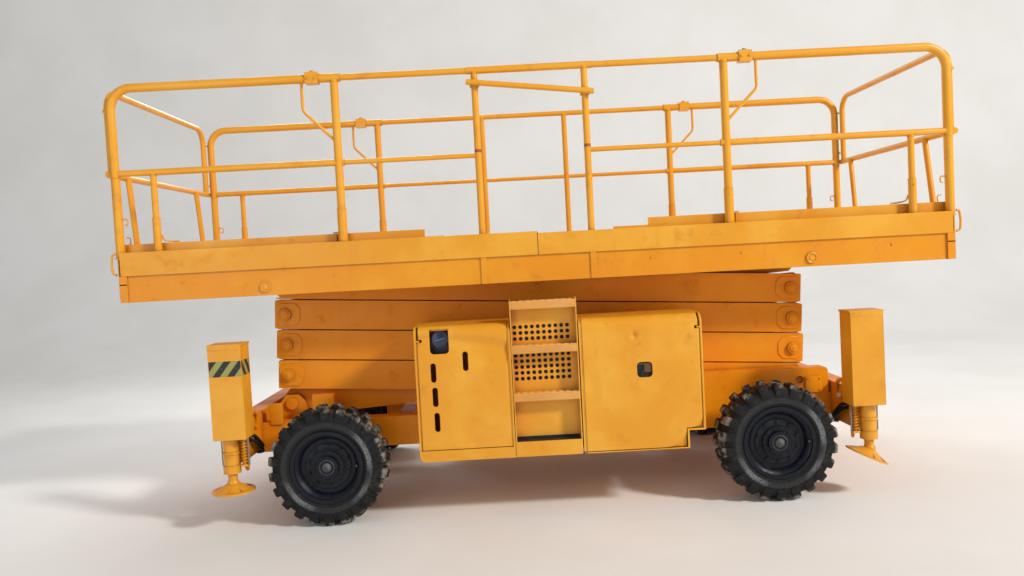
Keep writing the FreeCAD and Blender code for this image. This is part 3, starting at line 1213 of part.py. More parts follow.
def leaning_post(top_y, foot_y):
    """Post of the end frame, cut level at its rail and at the end board."""
    x = END_FRAME_X - END_FRAME_RADIUS
    run = Vector(0, foot_y - top_y, TOE_BOARD_TOP - RAIL_MID_Z)
    top = Vector(x, top_y, RAIL_MID_Z) - run
    whole = Part.makeCylinder(END_POST_RADIUS, 3 * run.Length, top, run)
    return whole.common(box(x - END_POST_RADIUS, x + END_POST_RADIUS, -PLATFORM_HALF_WIDTH, PLATFORM_HALF_WIDTH,
                            TOE_BOARD_TOP, RAIL_MID_Z))


def make_extension_rails():
    """Rear rails: a side frame each side, and the end frame between them."""
    hoop_y = END_FRAME_Y
    hoop = tube([Vector(END_FRAME_X, -hoop_y, RAIL_MID_Z), Vector(END_FRAME_X, -hoop_y, RAIL_TOP_Z),
                 Vector(END_FRAME_X, hoop_y, RAIL_TOP_Z), Vector(END_FRAME_X, hoop_y, RAIL_MID_Z)],
                END_FRAME_RADIUS, END_FRAME_BEND)
    rail = rod_y(END_FRAME_X, RAIL_MID_Z, END_FRAME_RADIUS, -RAIL_LINE_Y, RAIL_LINE_Y)
    posts = [leaning_post(top_y, foot_y) for top_y, foot_y in END_POSTS]
    start = SLIDE_POST_X - SLIDE_RAIL_OVERHANG - MOVING_GAP
    end = FIXED_RAIL_END + BORE_END_GAP
    bores = [rod_x(-RAIL_LINE_Y, RAIL_TOP_Z, FIXED_RAIL_RADIUS + SLIDE_RAIL_GAP, start, end),
             rod_x(-RAIL_LINE_Y, RAIL_MID_Z, FIXED_MID_RADIUS + SLIDE_RAIL_GAP, start, end)]
    return fuse(both_sides(side_frame()) + [hoop, rail] + posts).cut(both_sides(bores))


def make_gate_bar():
    """Sliding bar across the way in, on a collar round each entrance post."""
    y = -RAIL_LINE_Y
    bar_y = y - GATE_COLLAR_RADIUS + GATE_BAR_SINK - GATE_BAR_RADIUS / 2
    low_z = RAIL_TOP_Z - GATE_BAR_BELOW
    high_z = low_z + GATE_BAR_RISE
    slope = GATE_BAR_RISE / (2 * FIXED_POST_X)
    over = GATE_BAR_OVERHANG
    start = Vector(-FIXED_POST_X - over, bar_y, high_z + over * slope)
    end = Vector(FIXED_POST_X + over, bar_y, low_z - over * slope)
    bar = Part.makeCylinder(GATE_BAR_RADIUS, (end - start).Length, start, end - start)
    half = GATE_COLLAR_HEIGHT / 2
    bore = FIXED_POST_RADIUS + GATE_COLLAR_GAP
    collars = []
    bores = []
    for x, z in ((-FIXED_POST_X, high_z), (FIXED_POST_X, low_z)):
        collars.append(rod_z(x, y, GATE_COLLAR_RADIUS, z - half, z + half))
        bores.append(rod_z(x, y, bore, z - 2 * half, z + 2 * half))
    return fuse([bar] + collars).cut(bores)


def write_wheels_and_axles():
    save("front_axle", make_front_axle())
    save("rear_axle", make_rear_axle())
    knuckle = make_knuckle()
    save("knuckle_left", knuckle)
    save("knuckle_right", mirror_y(knuckle))
    save("tie_rod", make_tie_rod())
    tyre = make_tyre()
    rim = make_rim()
    for end, x in AXLE_PLACES.items():
        for side, side_way in SIDES:
            save("tyre_" + end + "_" + side, place_wheel(tyre, x, side_way))
            save("rim_" + end + "_" + side, place_wheel(rim, x, side_way))


def corner_piece(shape, end_way, side_way):
    """A left rear stabiliser piece moved to its corner of the chassis."""
    placed = mirror_x(shape) if end_way < 0 else shape.copy()
    placed = mirror_y(placed) if side_way > 0 else placed
    placed.translate(Vector(CHASSIS_SHIFT, 0, 0))
    return placed


def write_chassis():
    save("chassis_frame", make_chassis())
    housing = make_housing()
    housings = []
    for end, end_way in ENDS:
        for side, side_way in SIDES:
            housings.append(corner_piece(housing, end_way, side_way))
            tilted = end == "rear" and side == "left"
            leg = make_leg(FOOT_TILT_DEG if tilted else 0.0)
            save("stabiliser_leg_" + end + "_" + side, corner_piece(leg, end_way, side_way))
    save("stabiliser_housings", Part.makeCompound(housings))


def write_cabinets():
    left = [make_cabinet(name, x0, x1) for name, x0, x1 in CABINET_SPANS]
    right = [mirror_y(cabinet) for cabinet in left] + [make_centre_box()]
    save("cabinet_left", Part.makeCompound(left))
    save("cabinet_right", Part.makeCompound(right))
    for name, x0, x1 in CABINET_SPANS:
        door = make_door(name, x0, x1)
        save("door_" + name + "_left", door)
        save("door_" + name + "_right", mirror_y(door))
    save("ladder", make_ladder())
    save("engine_block", make_engine())


def write_scissor():
    for stage in range(1, STAGES + 1):
        save("inner_arms_" + str(stage), make_inner_frame(stage))
        save("outer_arms_" + str(stage), make_outer_frame(stage))
    for pair, name in enumerate(("lower", "upper")):
        save("cylinder_barrel_" + name, make_barrel(pair))
        save("cylinder_rod_" + name, make_rod(pair))


def write_platform():
    save("platform_frame", make_platform_frame())
    save("platform_deck", make_platform_deck())
    save("fixed_rails", make_fixed_rails())
    save("gate_bar", make_gate_bar())
    for name, rear in (("extension_deck_", make_extension_deck()), ("extension_rails_", make_extension_rails())):
        save(name + "rear", rear)
        front = rear.copy()
        front.rotate(Vector(0, 0, 0), Vector(0, 0, 1), 180)
        save(name + "front", front)


os.makedirs("parts", exist_ok=True)
write_wheels_and_axles()
write_chassis()
write_cabinets()
write_scissor()
write_platform()
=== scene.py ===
"""Looks of a rough-terrain scissor lift, laid over its CAD frame.

Metres, in the frame of the CAD model: +X towards the rear axle, -Y to the left side that the
camera sees, +Z up, origin on the ground under the middle of the platform.
"""

import logging
import math
import random
from dataclasses import dataclass
from enum import Enum
from typing import Dict, List, Optional, Sequence, Tuple, Union

import bmesh
import bpy
from mathutils import Matrix, Vector

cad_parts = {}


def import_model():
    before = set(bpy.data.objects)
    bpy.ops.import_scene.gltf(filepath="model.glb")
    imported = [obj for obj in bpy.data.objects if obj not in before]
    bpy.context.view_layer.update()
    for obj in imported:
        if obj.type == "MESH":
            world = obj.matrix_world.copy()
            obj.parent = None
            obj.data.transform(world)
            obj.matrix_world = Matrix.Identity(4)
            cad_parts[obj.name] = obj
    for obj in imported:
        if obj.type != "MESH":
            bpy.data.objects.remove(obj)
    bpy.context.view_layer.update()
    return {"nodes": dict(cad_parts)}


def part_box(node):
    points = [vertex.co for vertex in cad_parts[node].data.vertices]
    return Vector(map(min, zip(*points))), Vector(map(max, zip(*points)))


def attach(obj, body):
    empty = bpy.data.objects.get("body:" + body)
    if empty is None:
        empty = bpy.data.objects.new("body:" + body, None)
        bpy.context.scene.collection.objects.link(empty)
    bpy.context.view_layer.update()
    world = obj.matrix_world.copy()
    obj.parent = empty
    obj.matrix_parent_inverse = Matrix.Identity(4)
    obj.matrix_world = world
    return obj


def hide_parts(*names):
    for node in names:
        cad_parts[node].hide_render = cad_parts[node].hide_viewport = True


LOG = logging.getLogger("scissor_lift")
LEFT = -1
RIGHT = 1

Rgb = Tuple[float, float, float]
Point = Tuple[float, float, float]
Socket = bpy.types.NodeSocket
Value = Union[Socket, float, Rgb]


class Slot(Enum):
    """Material slots of the record."""

    YELLOW = "yellow_paint"
    DECK = "deck_paint"
    TYRE = "tyre_rubber"
    RIM = "rim_black"
    AXLE = "axle_black"
    CHROME = "rod_chrome"


class Axis(Enum):
    """Directions of the machine's frame."""

    X = (1.0, 0.0, 0.0)
    Y = (0.0, 1.0, 0.0)
    Z = (0.0, 0.0, 1.0)


class Shader:
    """Node tree of one material.

    Attributes:
        material: the material that is built.
        tree: its node tree.
        surface: its surface shader.
        place: coordinates of the shaded point in the piece's own frame.
    """

    def __init__(self, name: str) -> None:
        """Start a material.

        Args:
            name: the material's name.
        """
        self.material = bpy.data.materials.new(name)
        self.material.use_nodes = True
        self.tree = self.material.node_tree
        self.surface = self.tree.nodes["Principled BSDF"]
        self.place = self.add("ShaderNodeTexCoord").outputs["Object"]

    def add(self, kind: str, **settings: object) -> bpy.types.Node:
        """Add a node.

        Args:
            kind: the node's type.
            **settings: properties of the node.

        Returns:
            The node.
        """
        node = self.tree.nodes.new(kind)
        for name, value in settings.items():
            setattr(node, name, value)
        return node

    def feed(self, socket: Socket, value: Value) -> None:
        """Link a value into a socket, or set it there.

        Args:
            socket: the input.
            value: an output, a number or a colour.
        """
        if isinstance(value, bpy.types.NodeSocket):
            self.tree.links.new(value, socket)
        elif socket.type == "RGBA":
            socket.default_value = (*value, 1.0)
        else:
            socket.default_value = value

    def set(self, name: str, value: Value) -> None:
        """Feed one input of the surface shader."""
        self.feed(self.surface.inputs[name], value)

    def noise(self, scale: float, detail: float = 4.0, rough: float = 0.55,
              place: Optional[Socket] = None) -> Socket:
        """Cloudy noise.

        Args:
            scale: cells to a metre.
            detail: octaves.
            rough: weight of the fine octaves.
            place: coordinates, the piece's own where left out.

        Returns:
            A value about 0.5.
        """
        node = self.add("ShaderNodeTexNoise")
        self.feed(node.inputs["Vector"], place or self.place)
        self.feed(node.inputs["Scale"], scale)
        self.feed(node.inputs["Detail"], detail)
        self.feed(node.inputs["Roughness"], rough)
        return node.outputs[0]

    def stretch(self, scale: Point) -> Socket:
        """Coordinates scaled along each axis."""
        node = self.add("ShaderNodeVectorMath", operation="MULTIPLY")
        self.feed(node.inputs[0], self.place)
        node.inputs[1].default_value = scale
        return node.outputs[0]

    def axis(self, name: str) -> Socket:
        """One coordinate of the shaded point."""
        node = self.add("ShaderNodeSeparateXYZ")
        self.feed(node.inputs[0], self.place)
        return node.outputs[name]

    def reach(self, scale: Point, centre: Point = (0.0, 0.0, 0.0)) -> Socket:
        """Distance of the shaded point from a centre, with each axis weighted.

        Args:
            scale: weight of each axis.
            centre: where it is measured from.

        Returns:
            The distance.
        """
        shift = self.add("ShaderNodeVectorMath", operation="SUBTRACT")
        self.feed(shift.inputs[0], self.place)
        shift.inputs[1].default_value = centre
        weigh = self.add("ShaderNodeVectorMath", operation="MULTIPLY")
        self.feed(weigh.inputs[0], shift.outputs[0])
        weigh.inputs[1].default_value = scale
        length = self.add("ShaderNodeVectorMath", operation="LENGTH")
        self.feed(length.inputs[0], weigh.outputs[0])
        return length.outputs["Value"]

    def span(self, value: Value, low: float, high: float, start: float = 0.0, end: float = 1.0,
             smooth: bool = True) -> Socket:
        """Map a range of a value to another.

        Args:
            value: what is mapped.
            low: it gives start here.
            high: it gives end here.
            start: result at low.
            end: result at high.
            smooth: with a soft start and end.

        Returns:
            The mapped value.
        """
        node = self.add("ShaderNodeMapRange", interpolation_type="SMOOTHSTEP" if smooth else "LINEAR")
        for name, number in (("Value", value), ("From Min", low), ("From Max", high), ("To Min", start),
                             ("To Max", end)):
            self.feed(node.inputs[name], number)
        return node.outputs["Result"]

    def sum(self, operation: str, first: Value, second: Value) -> Socket:
        """Do a sum with two values."""
        node = self.add("ShaderNodeMath", operation=operation)
        self.feed(node.inputs[0], first)
        self.feed(node.inputs[1], second)
        return node.outputs[0]

    def mix(self, factor: Value, first: Value, second: Value, how: str = "MIX") -> Socket:
        """Mix two colours.

        Args:
            factor: share of the second.
            first: a colour.
            second: a colour.
            how: kind of mix.

        Returns:
            The mixed colour.
        """
        node = self.add("ShaderNodeMix", data_type="RGBA", blend_type=how)
        self.feed(node.inputs[0], factor)
        self.feed(node.inputs[6], first)
        self.feed(node.inputs[7], second)
        return node.outputs[2]

    def hollow(self, distance: float) -> Socket:
        """How open the surface is, 0 in a corner and 1 on an open face."""
        node = self.add("ShaderNodeAmbientOcclusion", samples=4)
        self.feed(node.inputs["Distance"], distance)
        return node.outputs["AO"]

    def bump(self, height: Socket, strength: float = 1.0, distance: float = 1.0,
             under: Optional[Socket] = None) -> Socket:
        """Turn a height into a surface direction.

        Args:
            height: the height.
            strength: share of the effect.
            distance: metres for a height of one.
            under: direction that it is laid over.

        Returns:
            The direction.
        """
        node = self.add("ShaderNodeBump")
        self.feed(node.inputs["Strength"], strength)
        self.feed(node.inputs["Distance"], distance)
        self.feed(node.inputs["Height"], height)
        if under is not None:
            self.feed(node.inputs["Normal"], under)
        return node.outputs[0]


@dataclass(frozen=True)
class Fold:
    """Crease across a flat panel in the XZ plane, from which the panel leans out again.

    Attributes:
        x: place of the crease line.
        z: place of the crease line.
        angle: direction of the line, in degrees from +X.
        ahead: how far the leaning face runs on the left of that direction.
        back: how far it runs on the right.
        deep: how deep the crease is.
        beyond: share of the depth that stays past the face on the left.
    """

    x: float
    z: float
    angle: float
    ahead: float
    back: float
    deep: float
    beyond: float = 0.0

    def depth(self, x: float, z: float) -> float:
        """How far in the panel lies at a place."""
        turn = math.radians(self.angle)
        across = -math.sin(turn) * (x - self.x) + math.cos(turn) * (z - self.z)
        if across < 0:
            return self.deep * max(0.0, 1.0 + across / self.back)
        return self.deep * max(self.beyond, 1.0 - across / self.ahead)


@dataclass(frozen=True)
class Dent:
    """Round dent in a flat panel in the XZ plane.

    Attributes:
        x: middle.
        z: middle.
        half_x: half length along X.
        half_z: half length along Z.
        deep: how deep it is.
    """

    x: float
    z: float
    half_x: float
    half_z: float
    deep: float

    def depth(self, x: float, z: float) -> float:
        """How far in the panel lies at a place."""
        away = math.hypot((x - self.x) / self.half_x, (z - self.z) / self.half_z)
        if away >= 1:
            return 0.0
        return self.deep * (0.5 + 0.5 * math.cos(math.pi * away))


Damage = Union[Fold, Dent]


@dataclass(frozen=True)
class Paint:
    """Sprayed paint over old metal, cloudy, with painted shade darkening its corners.

    Attributes:
        name: material name.
        base: main colour.
        deep: colour of the thin and old places.
        light: colour of the thick and faded places.
        rough: roughness of the surface.
        corner_shade: strength of the painted shade that darkens corners.
        peel: height of the orange peel, in metres.
        coat: strength of the clear gloss over it.
    """

    name: str
    base: Rgb = (0.80, 0.335, 0.014)
    deep: Rgb = (0.62, 0.215, 0.008)
    light: Rgb = (0.86, 0.42, 0.035)
    rough: float = 0.42
    corner_shade: float = 0.5
    peel: float = 0.0004
    coat: float = 0.18

    def build(self) -> bpy.types.Material:
        """Make the material."""
        shader = Shader(self.name)
        clouds = shader.noise(2.3, 5.0)
        colour = shader.mix(shader.span(clouds, 0.40, 0.68), self.base, self.light)
        patches = shader.noise(7.0, 6.0, 0.65)
        colour = shader.mix(shader.span(patches, 0.56, 0.74, 0.0, 0.55), colour, self.deep)
        streaks = shader.noise(5.0, 5.0, 0.6, shader.stretch((1.6, 1.6, 0.22)))
        colour = shader.mix(shader.span(streaks, 0.58, 0.78, 0.0, 0.35), colour, self.deep)
        specks = shader.noise(210.0, 2.0)
        colour = shader.mix(shader.span(specks, 0.70, 0.78, 0.0, 0.35), colour, (0.16, 0.10, 0.05))
        # Painted shade: dark brown mixed in where ambient occlusion finds corners, patchy with the noise.
        open_face = shader.hollow(0.05)
        painted_corner_shade = shader.sum("MULTIPLY", shader.span(open_face, 0.35, 0.92, self.corner_shade, 0.0),
                          shader.span(patches, 0.30, 0.60, 0.45, 1.0))
        colour = shader.mix(painted_corner_shade, colour, (0.10, 0.055, 0.025))
        shader.set("Base Color", colour)
        shader.set("Roughness", shader.span(patches, 0.35, 0.72, self.rough - 0.10, self.rough + 0.14))
        shader.set("Coat Weight", self.coat)
        shader.set("Specular IOR Level", 0.2 + self.coat)
        shader.set("Coat Roughness", 0.22)
        fine = shader.sum("MULTIPLY", shader.noise(160.0, 2.0), self.peel)
        wavy = shader.sum("MULTIPLY", shader.noise(3.2, 2.0), 0.004)
        shader.set("Normal", shader.bump(shader.sum("ADD", fine, wavy)))
        return shader.material


@dataclass(frozen=True)
class PlatePaint:
    """Worn paint on raised-pattern floor plate, with painted shade in its corners.

    Attributes:
        name: material name.
        base: main colour.
        worn: colour of the trodden places.
    """

    name: str = "Deck_paint"
    base: Rgb = (0.74, 0.31, 0.015)
    worn: Rgb = (0.34, 0.22, 0.11)

    def build(self) -> bpy.types.Material:
        """Make the material."""
        shader = Shader(self.name)
        tread = shader.noise(1.7, 5.0, 0.6)
        colour = shader.mix(shader.span(tread, 0.45, 0.70, 0.0, 0.8), self.base, self.worn)
        scuff = shader.noise(30.0, 4.0)
        colour = shader.mix(shader.span(scuff, 0.55, 0.75, 0.0, 0.4), colour, (0.20, 0.13, 0.07))
        # Painted shade: dark brown mixed in where ambient occlusion finds corners.
        colour = shader.mix(shader.span(shader.hollow(0.06), 0.4, 0.95, 0.5, 0.0), colour, (0.10, 0.055, 0.025))
        shader.set("Base Color", colour)
        shader.set("Roughness", shader.span(tread, 0.4, 0.7, 0.45, 0.7))
        shader.set("Normal", shader.bump(shader.sum("MULTIPLY", scuff, 0.0006)))
        return shader.material


@dataclass(frozen=True)
class Rubber:
    """Tyre rubber with dust, overspray and a scuffed ring on the sidewall.

    Attributes:
        name: material name.
        base: clean colour.
        dust: colour of the dust.
        ring: radius of the scuffed ring, zero for none.
    """

    name: str = "Tyre_rubber"
    base: Rgb = (0.013, 0.013, 0.014)
    dust: Rgb = (0.17, 0.155, 0.13)
    ring: float = 0.0

    def build(self) -> bpy.types.Material:
        """Make the material."""
        shader = Shader(self.name)
        clouds = shader.noise(13.0, 6.0, 0.65)
        colour = shader.mix(shader.span(clouds, 0.50, 0.80, 0.0, 0.30), self.base, self.dust)
        radius = shader.reach((1.0, 0.0, 1.0))
        if self.ring:
            worn = shader.noise(3.1, 2.0)
            speckle = shader.noise(95.0, 3.0, 0.7)
            inner = shader.span(radius, self.ring - 0.010, self.ring, 0.0, 1.0)
            outer = shader.span(radius, self.ring + 0.020, self.ring + 0.036, 1.0, 0.0)
            ring = shader.sum("MULTIPLY", shader.sum("MULTIPLY", inner, outer), shader.span(worn, 0.46, 0.58, 0.12, 1.0))
            ring = shader.sum("MULTIPLY", ring, shader.span(speckle, 0.36, 0.56, 0.25, 1.0))
            colour = shader.mix(ring, colour, (0.19, 0.20, 0.215))
            scuff = shader.sum("MULTIPLY", shader.span(radius, 0.352, 0.374), shader.span(clouds, 0.46, 0.62, 0.0, 0.8))
            colour = shader.mix(scuff, colour, (0.30, 0.275, 0.235))
            spray = shader.sum("MULTIPLY", shader.span(radius, 0.33, 0.38),
                               shader.span(shader.noise(5.0), 0.62, 0.74, 0.0, 0.5))
            colour = shader.mix(spray, colour, (0.16, 0.06, 0.02))
        shader.set("Base Color", colour)
        shader.set("Roughness", shader.span(clouds, 0.3, 0.7, 0.62, 0.9))
        shader.set("Specular IOR Level", 0.22)
        shader.set("Normal", shader.bump(shader.sum("MULTIPLY", shader.noise(140.0, 3.0), 0.0006)))
        return shader.material


@dataclass(frozen=True)
class Metal:
    """Painted or bare metal with some dust.

    Attributes:
        name: material name.
        base: main colour.
        other: colour of the patches.
        metallic: share of bare metal.
        rough: roughness.
        patchy: share of the patches.
        shine: strength of its reflections.
    """

    name: str
    base: Rgb
    other: Rgb
    metallic: float = 0.0
    rough: float = 0.4
    patchy: float = 0.6
    shine: float = 0.5

    def build(self) -> bpy.types.Material:
        """Make the material."""
        shader = Shader(self.name)
        clouds = shader.noise(16.0, 6.0, 0.65)
        colour = shader.mix(shader.span(clouds, 0.42, 0.72, 0.0, self.patchy), self.base, self.other)
        shader.set("Base Color", colour)
        shader.set("Metallic", self.metallic)
        shader.set("Specular IOR Level", self.shine)
        shader.set("Roughness", shader.span(clouds, 0.3, 0.7, self.rough - 0.08, self.rough + 0.16))
        shader.set("Normal", shader.bump(shader.sum("MULTIPLY", shader.noise(180.0, 3.0), 0.0003)))
        return shader.material


@dataclass(frozen=True)
class Tape:
    """Hazard tape with slanted stripes in the XZ plane, worn at places.

    Attributes:
        name: material name.
        pale: colour of one stripe.
        dark: colour of the other.
        pitch: length of a pair of stripes.
    """

    name: str = "Hazard_tape"
    pale: Rgb = (0.33, 0.32, 0.085)
    dark: Rgb = (0.012, 0.012, 0.012)
    pitch: float = 0.094

    def build(self) -> bpy.types.Material:
        """Make the material."""
        shader = Shader(self.name)
        run = shader.sum("SUBTRACT", shader.sum("ADD", shader.axis("X"), shader.sum("MULTIPLY", shader.axis("Y"), -1.0)),
                         shader.sum("MULTIPLY", shader.axis("Z"), 0.8))
        phase = shader.sum("FRACT", shader.sum("DIVIDE", run, self.pitch), 0.0)
        stripe = shader.span(phase, 0.49, 0.51, smooth=False)
        clouds = shader.noise(40.0, 5.0)
        colour = shader.mix(stripe, self.pale, self.dark)
        colour = shader.mix(shader.span(clouds, 0.55, 0.75, 0.0, 0.45), colour, (0.35, 0.30, 0.20))
        shader.set("Base Color", colour)
        shader.set("Roughness", shader.span(clouds, 0.3, 0.7, 0.35, 0.6))
        shader.set("Normal", shader.bump(shader.sum("MULTIPLY", clouds, 0.0005)))
        return shader.material


DOOR_DAMAGE: Dict[str, Tuple[Damage, ...]] = {
    "front": (Fold(-0.60, 1.168, -9.0, 0.060, 0.16, 0.0185), Dent(-0.50, 0.60, 0.14, 0.16, 0.007),
              Dent(-0.512, 0.935, 0.030, 0.050, 0.004), Dent(-0.37, 0.87, 0.035, 0.060, 0.004),
              Dent(-0.80, 1.165, 0.060, 0.018, 0.006)),
    "rear": (Fold(0.93, 0.482, 217.7, 0.050, 0.040, 0.0185, 1.0), Dent(0.585, 1.145, 0.030, 0.036, 0.018),
             Dent(0.66, 1.13, 0.16, 0.035, 0.005), Dent(0.30, 0.80, 0.07, 0.20, 0.008),
             Dent(0.93, 1.04, 0.10, 0.13, 0.007), Dent(0.95, 0.69, 0.05, 0.03, 0.006),
             Dent(0.74, 0.86, 0.10, 0.12, 0.005))}
YELLOW = Paint("Yellow_paint")
# Darker, more orange copy of the yellow paint: painted shade for the scissor stack and chassis in the platform's
# shadow, also used on the ladder's lip plates.
SHADED_STACK_YELLOW = Paint("Stack_paint_shaded", base=(0.88, 0.290, 0.003), deep=(0.66, 0.175, 0.002),
                     light=(0.92, 0.34, 0.006), corner_shade=0.6, coat=0.05)
# More orange copy of the yellow paint: painted shade for the platform frame's web under the skirts.
SHADED_WEB_YELLOW = Paint("Web_paint_shaded", base=(0.80, 0.290, 0.008), deep=(0.62, 0.185, 0.005), light=(0.84, 0.35, 0.014),
                   coat=0.12)
WORN_YELLOW = Paint("Rail_paint", base=(0.85, 0.37, 0.014), deep=(0.62, 0.21, 0.03), rough=0.38, peel=0.0003)
PALE_YELLOW = Paint("Lip_paint", base=(0.95, 0.66, 0.26), deep=(0.76, 0.40, 0.08), light=(0.97, 0.76, 0.42),
                    rough=0.5)
DECK = PlatePaint()
TYRE = Rubber(ring=0.268)
HOSE = Rubber("Hose_rubber", base=(0.012, 0.012, 0.013), dust=(0.08, 0.07, 0.06))
RIM = Metal("Rim_paint", (0.0045, 0.006, 0.012), (0.014, 0.017, 0.028), rough=0.36, shine=0.25)
RIM_WORN = Metal("Rim_worn", (0.008, 0.010, 0.016), (0.035, 0.037, 0.043), rough=0.45, shine=0.25)
HUB_PALE = Metal("Hub_pale", (0.05, 0.05, 0.055), (0.30, 0.29, 0.27), metallic=0.2, rough=0.45)
AXLE = Metal("Axle_black", (0.012, 0.011, 0.011), (0.05, 0.04, 0.03), rough=0.5, shine=0.3)
CHROME = Metal("Rod_chrome", (0.62, 0.62, 0.64), (0.45, 0.44, 0.43), metallic=1.0, rough=0.2, patchy=0.4)
STEEL = Metal("Bare_steel", (0.33, 0.32, 0.31), (0.20, 0.15, 0.11), metallic=0.7, rough=0.42)
RED = Metal("Red_primer", (0.36, 0.07, 0.02), (0.50, 0.16, 0.04), rough=0.55)
WHITE = Metal("White_fitting", (0.72, 0.72, 0.70), (0.50, 0.46, 0.38), rough=0.4, patchy=0.4)
SLATE = Metal("Gauge_plate", (0.060, 0.065, 0.090), (0.11, 0.11, 0.13), rough=0.35)
RUST = Metal("Latch_rust", (0.13, 0.065, 0.03), (0.05, 0.03, 0.02), rough=0.7)
BLUE = Metal("Gauge_blue", (0.020, 0.040, 0.12), (0.05, 0.09, 0.20), rough=0.15, patchy=0.5)
# Near black for the gauge body, a bolt and the skirts' seam, also for dark sheets that paint shade in the ladder slot,
# the latch hole and under the platform skirts.
BLACK_AND_SHADE = Metal("Black_parts_and_painted_shade", (0.010, 0.010, 0.010), (0.03, 0.026, 0.02), rough=0.6)
TAPE = Tape()

Finish = Union[Paint, PlatePaint, Rubber, Metal, Tape]


class Palette:
    """Materials of the finishes, each built once."""

    def __init__(self) -> None:
        """Start with no materials."""
        self._made: Dict[Finish, bpy.types.Material] = {}

    def material(self, finish: Finish) -> bpy.types.Material:
        """Material of a finish."""
        if finish not in self._made:
            self._made[finish] = finish.build()
        return self._made[finish]


class Piece:
    """Mesh of simple forms that rides on one body.

    Attributes:
        name: the piece's name.
        finishes: its finishes, by index.
        mesh: the mesh while it is made.
        origin: where its own frame lies.
    """

    SHARP = math.radians(32.0)

    def __init__(self, name: str, finishes: Sequence[Finish], origin: Point = (0.0, 0.0, 0.0)) -> None:
        """Start an empty mesh.

        Args:
            name: the piece's name.
            finishes: its finishes.
            origin: where its own frame lies.
        """
        self.name = name
        self.finishes = list(finishes)
        self.mesh = bmesh.new()
        self.origin = Vector(origin)

    def _mark(self, faces: Sequence[bmesh.types.BMFace], finish: int) -> None:
        """Give faces a finish."""
        for face in faces:
            face.material_index = finish

    def loft(self, loops: Sequence[Sequence[Vector]], finish: int = 0, closed: bool = False,
             capped: bool = True) -> None:
        """Skin a row of loops with the same number of points.

        Args:
            loops: rings of points.
            finish: index of the finish.
            closed: the last ring joins the first.
            capped: the first and last ring are filled.
        """
        rings = [[self.mesh.verts.new(point) for point in loop] for loop in loops]
        faces = []
        count = len(rings[0])
        pairs = list(zip(rings, rings[1:])) + ([(rings[-1], rings[0])] if closed else [])
        for here, ahead in pairs:
            for index in range(count):
                after = (index + 1) % count
                faces.append(self.mesh.faces.new((here[index], here[after], ahead[after], ahead[index])))
        if capped and not closed:
            faces.append(self.mesh.faces.new(list(reversed(rings[0]))))
            faces.append(self.mesh.faces.new(rings[-1]))
        self._mark(faces, finish)

    def box(self, low: Point, high: Point, bevel: float = 0.0015, finish: int = 0,
            turn: Optional[Matrix] = None) -> None:
        """Block with rounded edges.

        Args:
            low: a corner.
            high: the opposite corner.
            bevel: width of the rounded edges.
            finish: index of the finish.
            turn: turn about the block's middle.
        """
        a, b = Vector(low), Vector(high)
        size = b - a
        place = Matrix.Translation((a + b) / 2)
        scale = Matrix.Diagonal((abs(size.x), abs(size.y), abs(size.z), 1.0))
        matrix = place @ (turn or Matrix.Identity(4)) @ scale
        made = bmesh.ops.create_cube(self.mesh, size=1.0, matrix=matrix)
        self._round(made["verts"], bevel, finish)

    def _round(self, verts: Sequence[bmesh.types.BMVert], bevel: float, finish: int) -> None:
        """Round the edges of new vertices and give their faces a finish.

        Args:
            verts: the new vertices.
            bevel: width of the rounded edges.
            finish: index of the finish.
        """
        faces = {face for vert in verts for face in vert.link_faces}
        self._mark(list(faces), finish)
        if bevel <= 0:
            return
        edges = {edge for vert in verts for edge in vert.link_edges
                 if len(edge.link_faces) == 2 and edge.calc_face_angle(0.0) > self.SHARP}
        made = bmesh.ops.bevel(self.mesh, geom=list(edges), offset=bevel, segments=2, affect="EDGES",
                               profile=0.6, clamp_overlap=True)
        self._mark(made["faces"], finish)

    def soften(self, width: float) -> None:
        """Round every sharp edge of the mesh so far."""
        edges = [edge for edge in self.mesh.edges
                 if len(edge.link_faces) == 2 and edge.calc_face_angle(0.0) > self.SHARP]
        bmesh.ops.bevel(self.mesh, geom=edges, offset=width, segments=2, affect="EDGES", profile=0.6,
                        clamp_overlap=True)

    def rod(self, start: Point, end: Point, radius: float, finish: int = 0, sides: int = 24,
            bevel: float = 0.0012, end_radius: Optional[float] = None) -> None:
        """Round or many-sided bar with rounded ends.

        Args:
            start: middle of one end.
            end: middle of the other.
            radius: radius at the start.
            finish: index of the finish.
            sides: sides of the section, six for a nut.
            bevel: width of the rounded edges.
            end_radius: radius at the end, the same where left out.
        """
        a, b = Vector(start), Vector(end)
        run = b - a
        turn = run.to_track_quat("Z", "Y").to_matrix().to_4x4()
        made = bmesh.ops.create_cone(self.mesh, cap_ends=True, segments=sides, radius1=radius,
                                     radius2=radius if end_radius is None else end_radius, depth=run.length,
                                     matrix=Matrix.Translation((a + b) / 2) @ turn)
        self._round(made["verts"], bevel, finish)

    def tube(self, points: Sequence[Point], radius: float, finish: int = 0, sides: int = 12,
             bend: float = 0.0) -> None:
        """Round bar along a line of points.

        Args:
            points: the line.
            radius: radius of the bar.
            finish: index of the finish.
            sides: sides of the section.
            bend: radius of its bends, sharp where zero.
        """
        line = self._bent([Vector(p) for p in points], bend) if bend else [Vector(p) for p in points]
        loops = []
        up = Vector((0.0, 0.0, 1.0))
        ahead = (line[1] - line[0]).normalized()
        side = ahead.cross(up) if abs(ahead.z) < 0.9 else ahead.cross(Vector((1.0, 0.0, 0.0)))
        side.normalize()
        for index, point in enumerate(line):
            before = line[max(index - 1, 0)]
            after = line[min(index + 1, len(line) - 1)]
            ahead = (after - before).normalized()
            side = (side - ahead * side.dot(ahead)).normalized()
            other = ahead.cross(side)
            loops.append([point + (side * math.cos(t) + other * math.sin(t)) * radius
                          for t in (2 * math.pi * k / sides for k in range(sides))])
        self.loft(loops, finish)

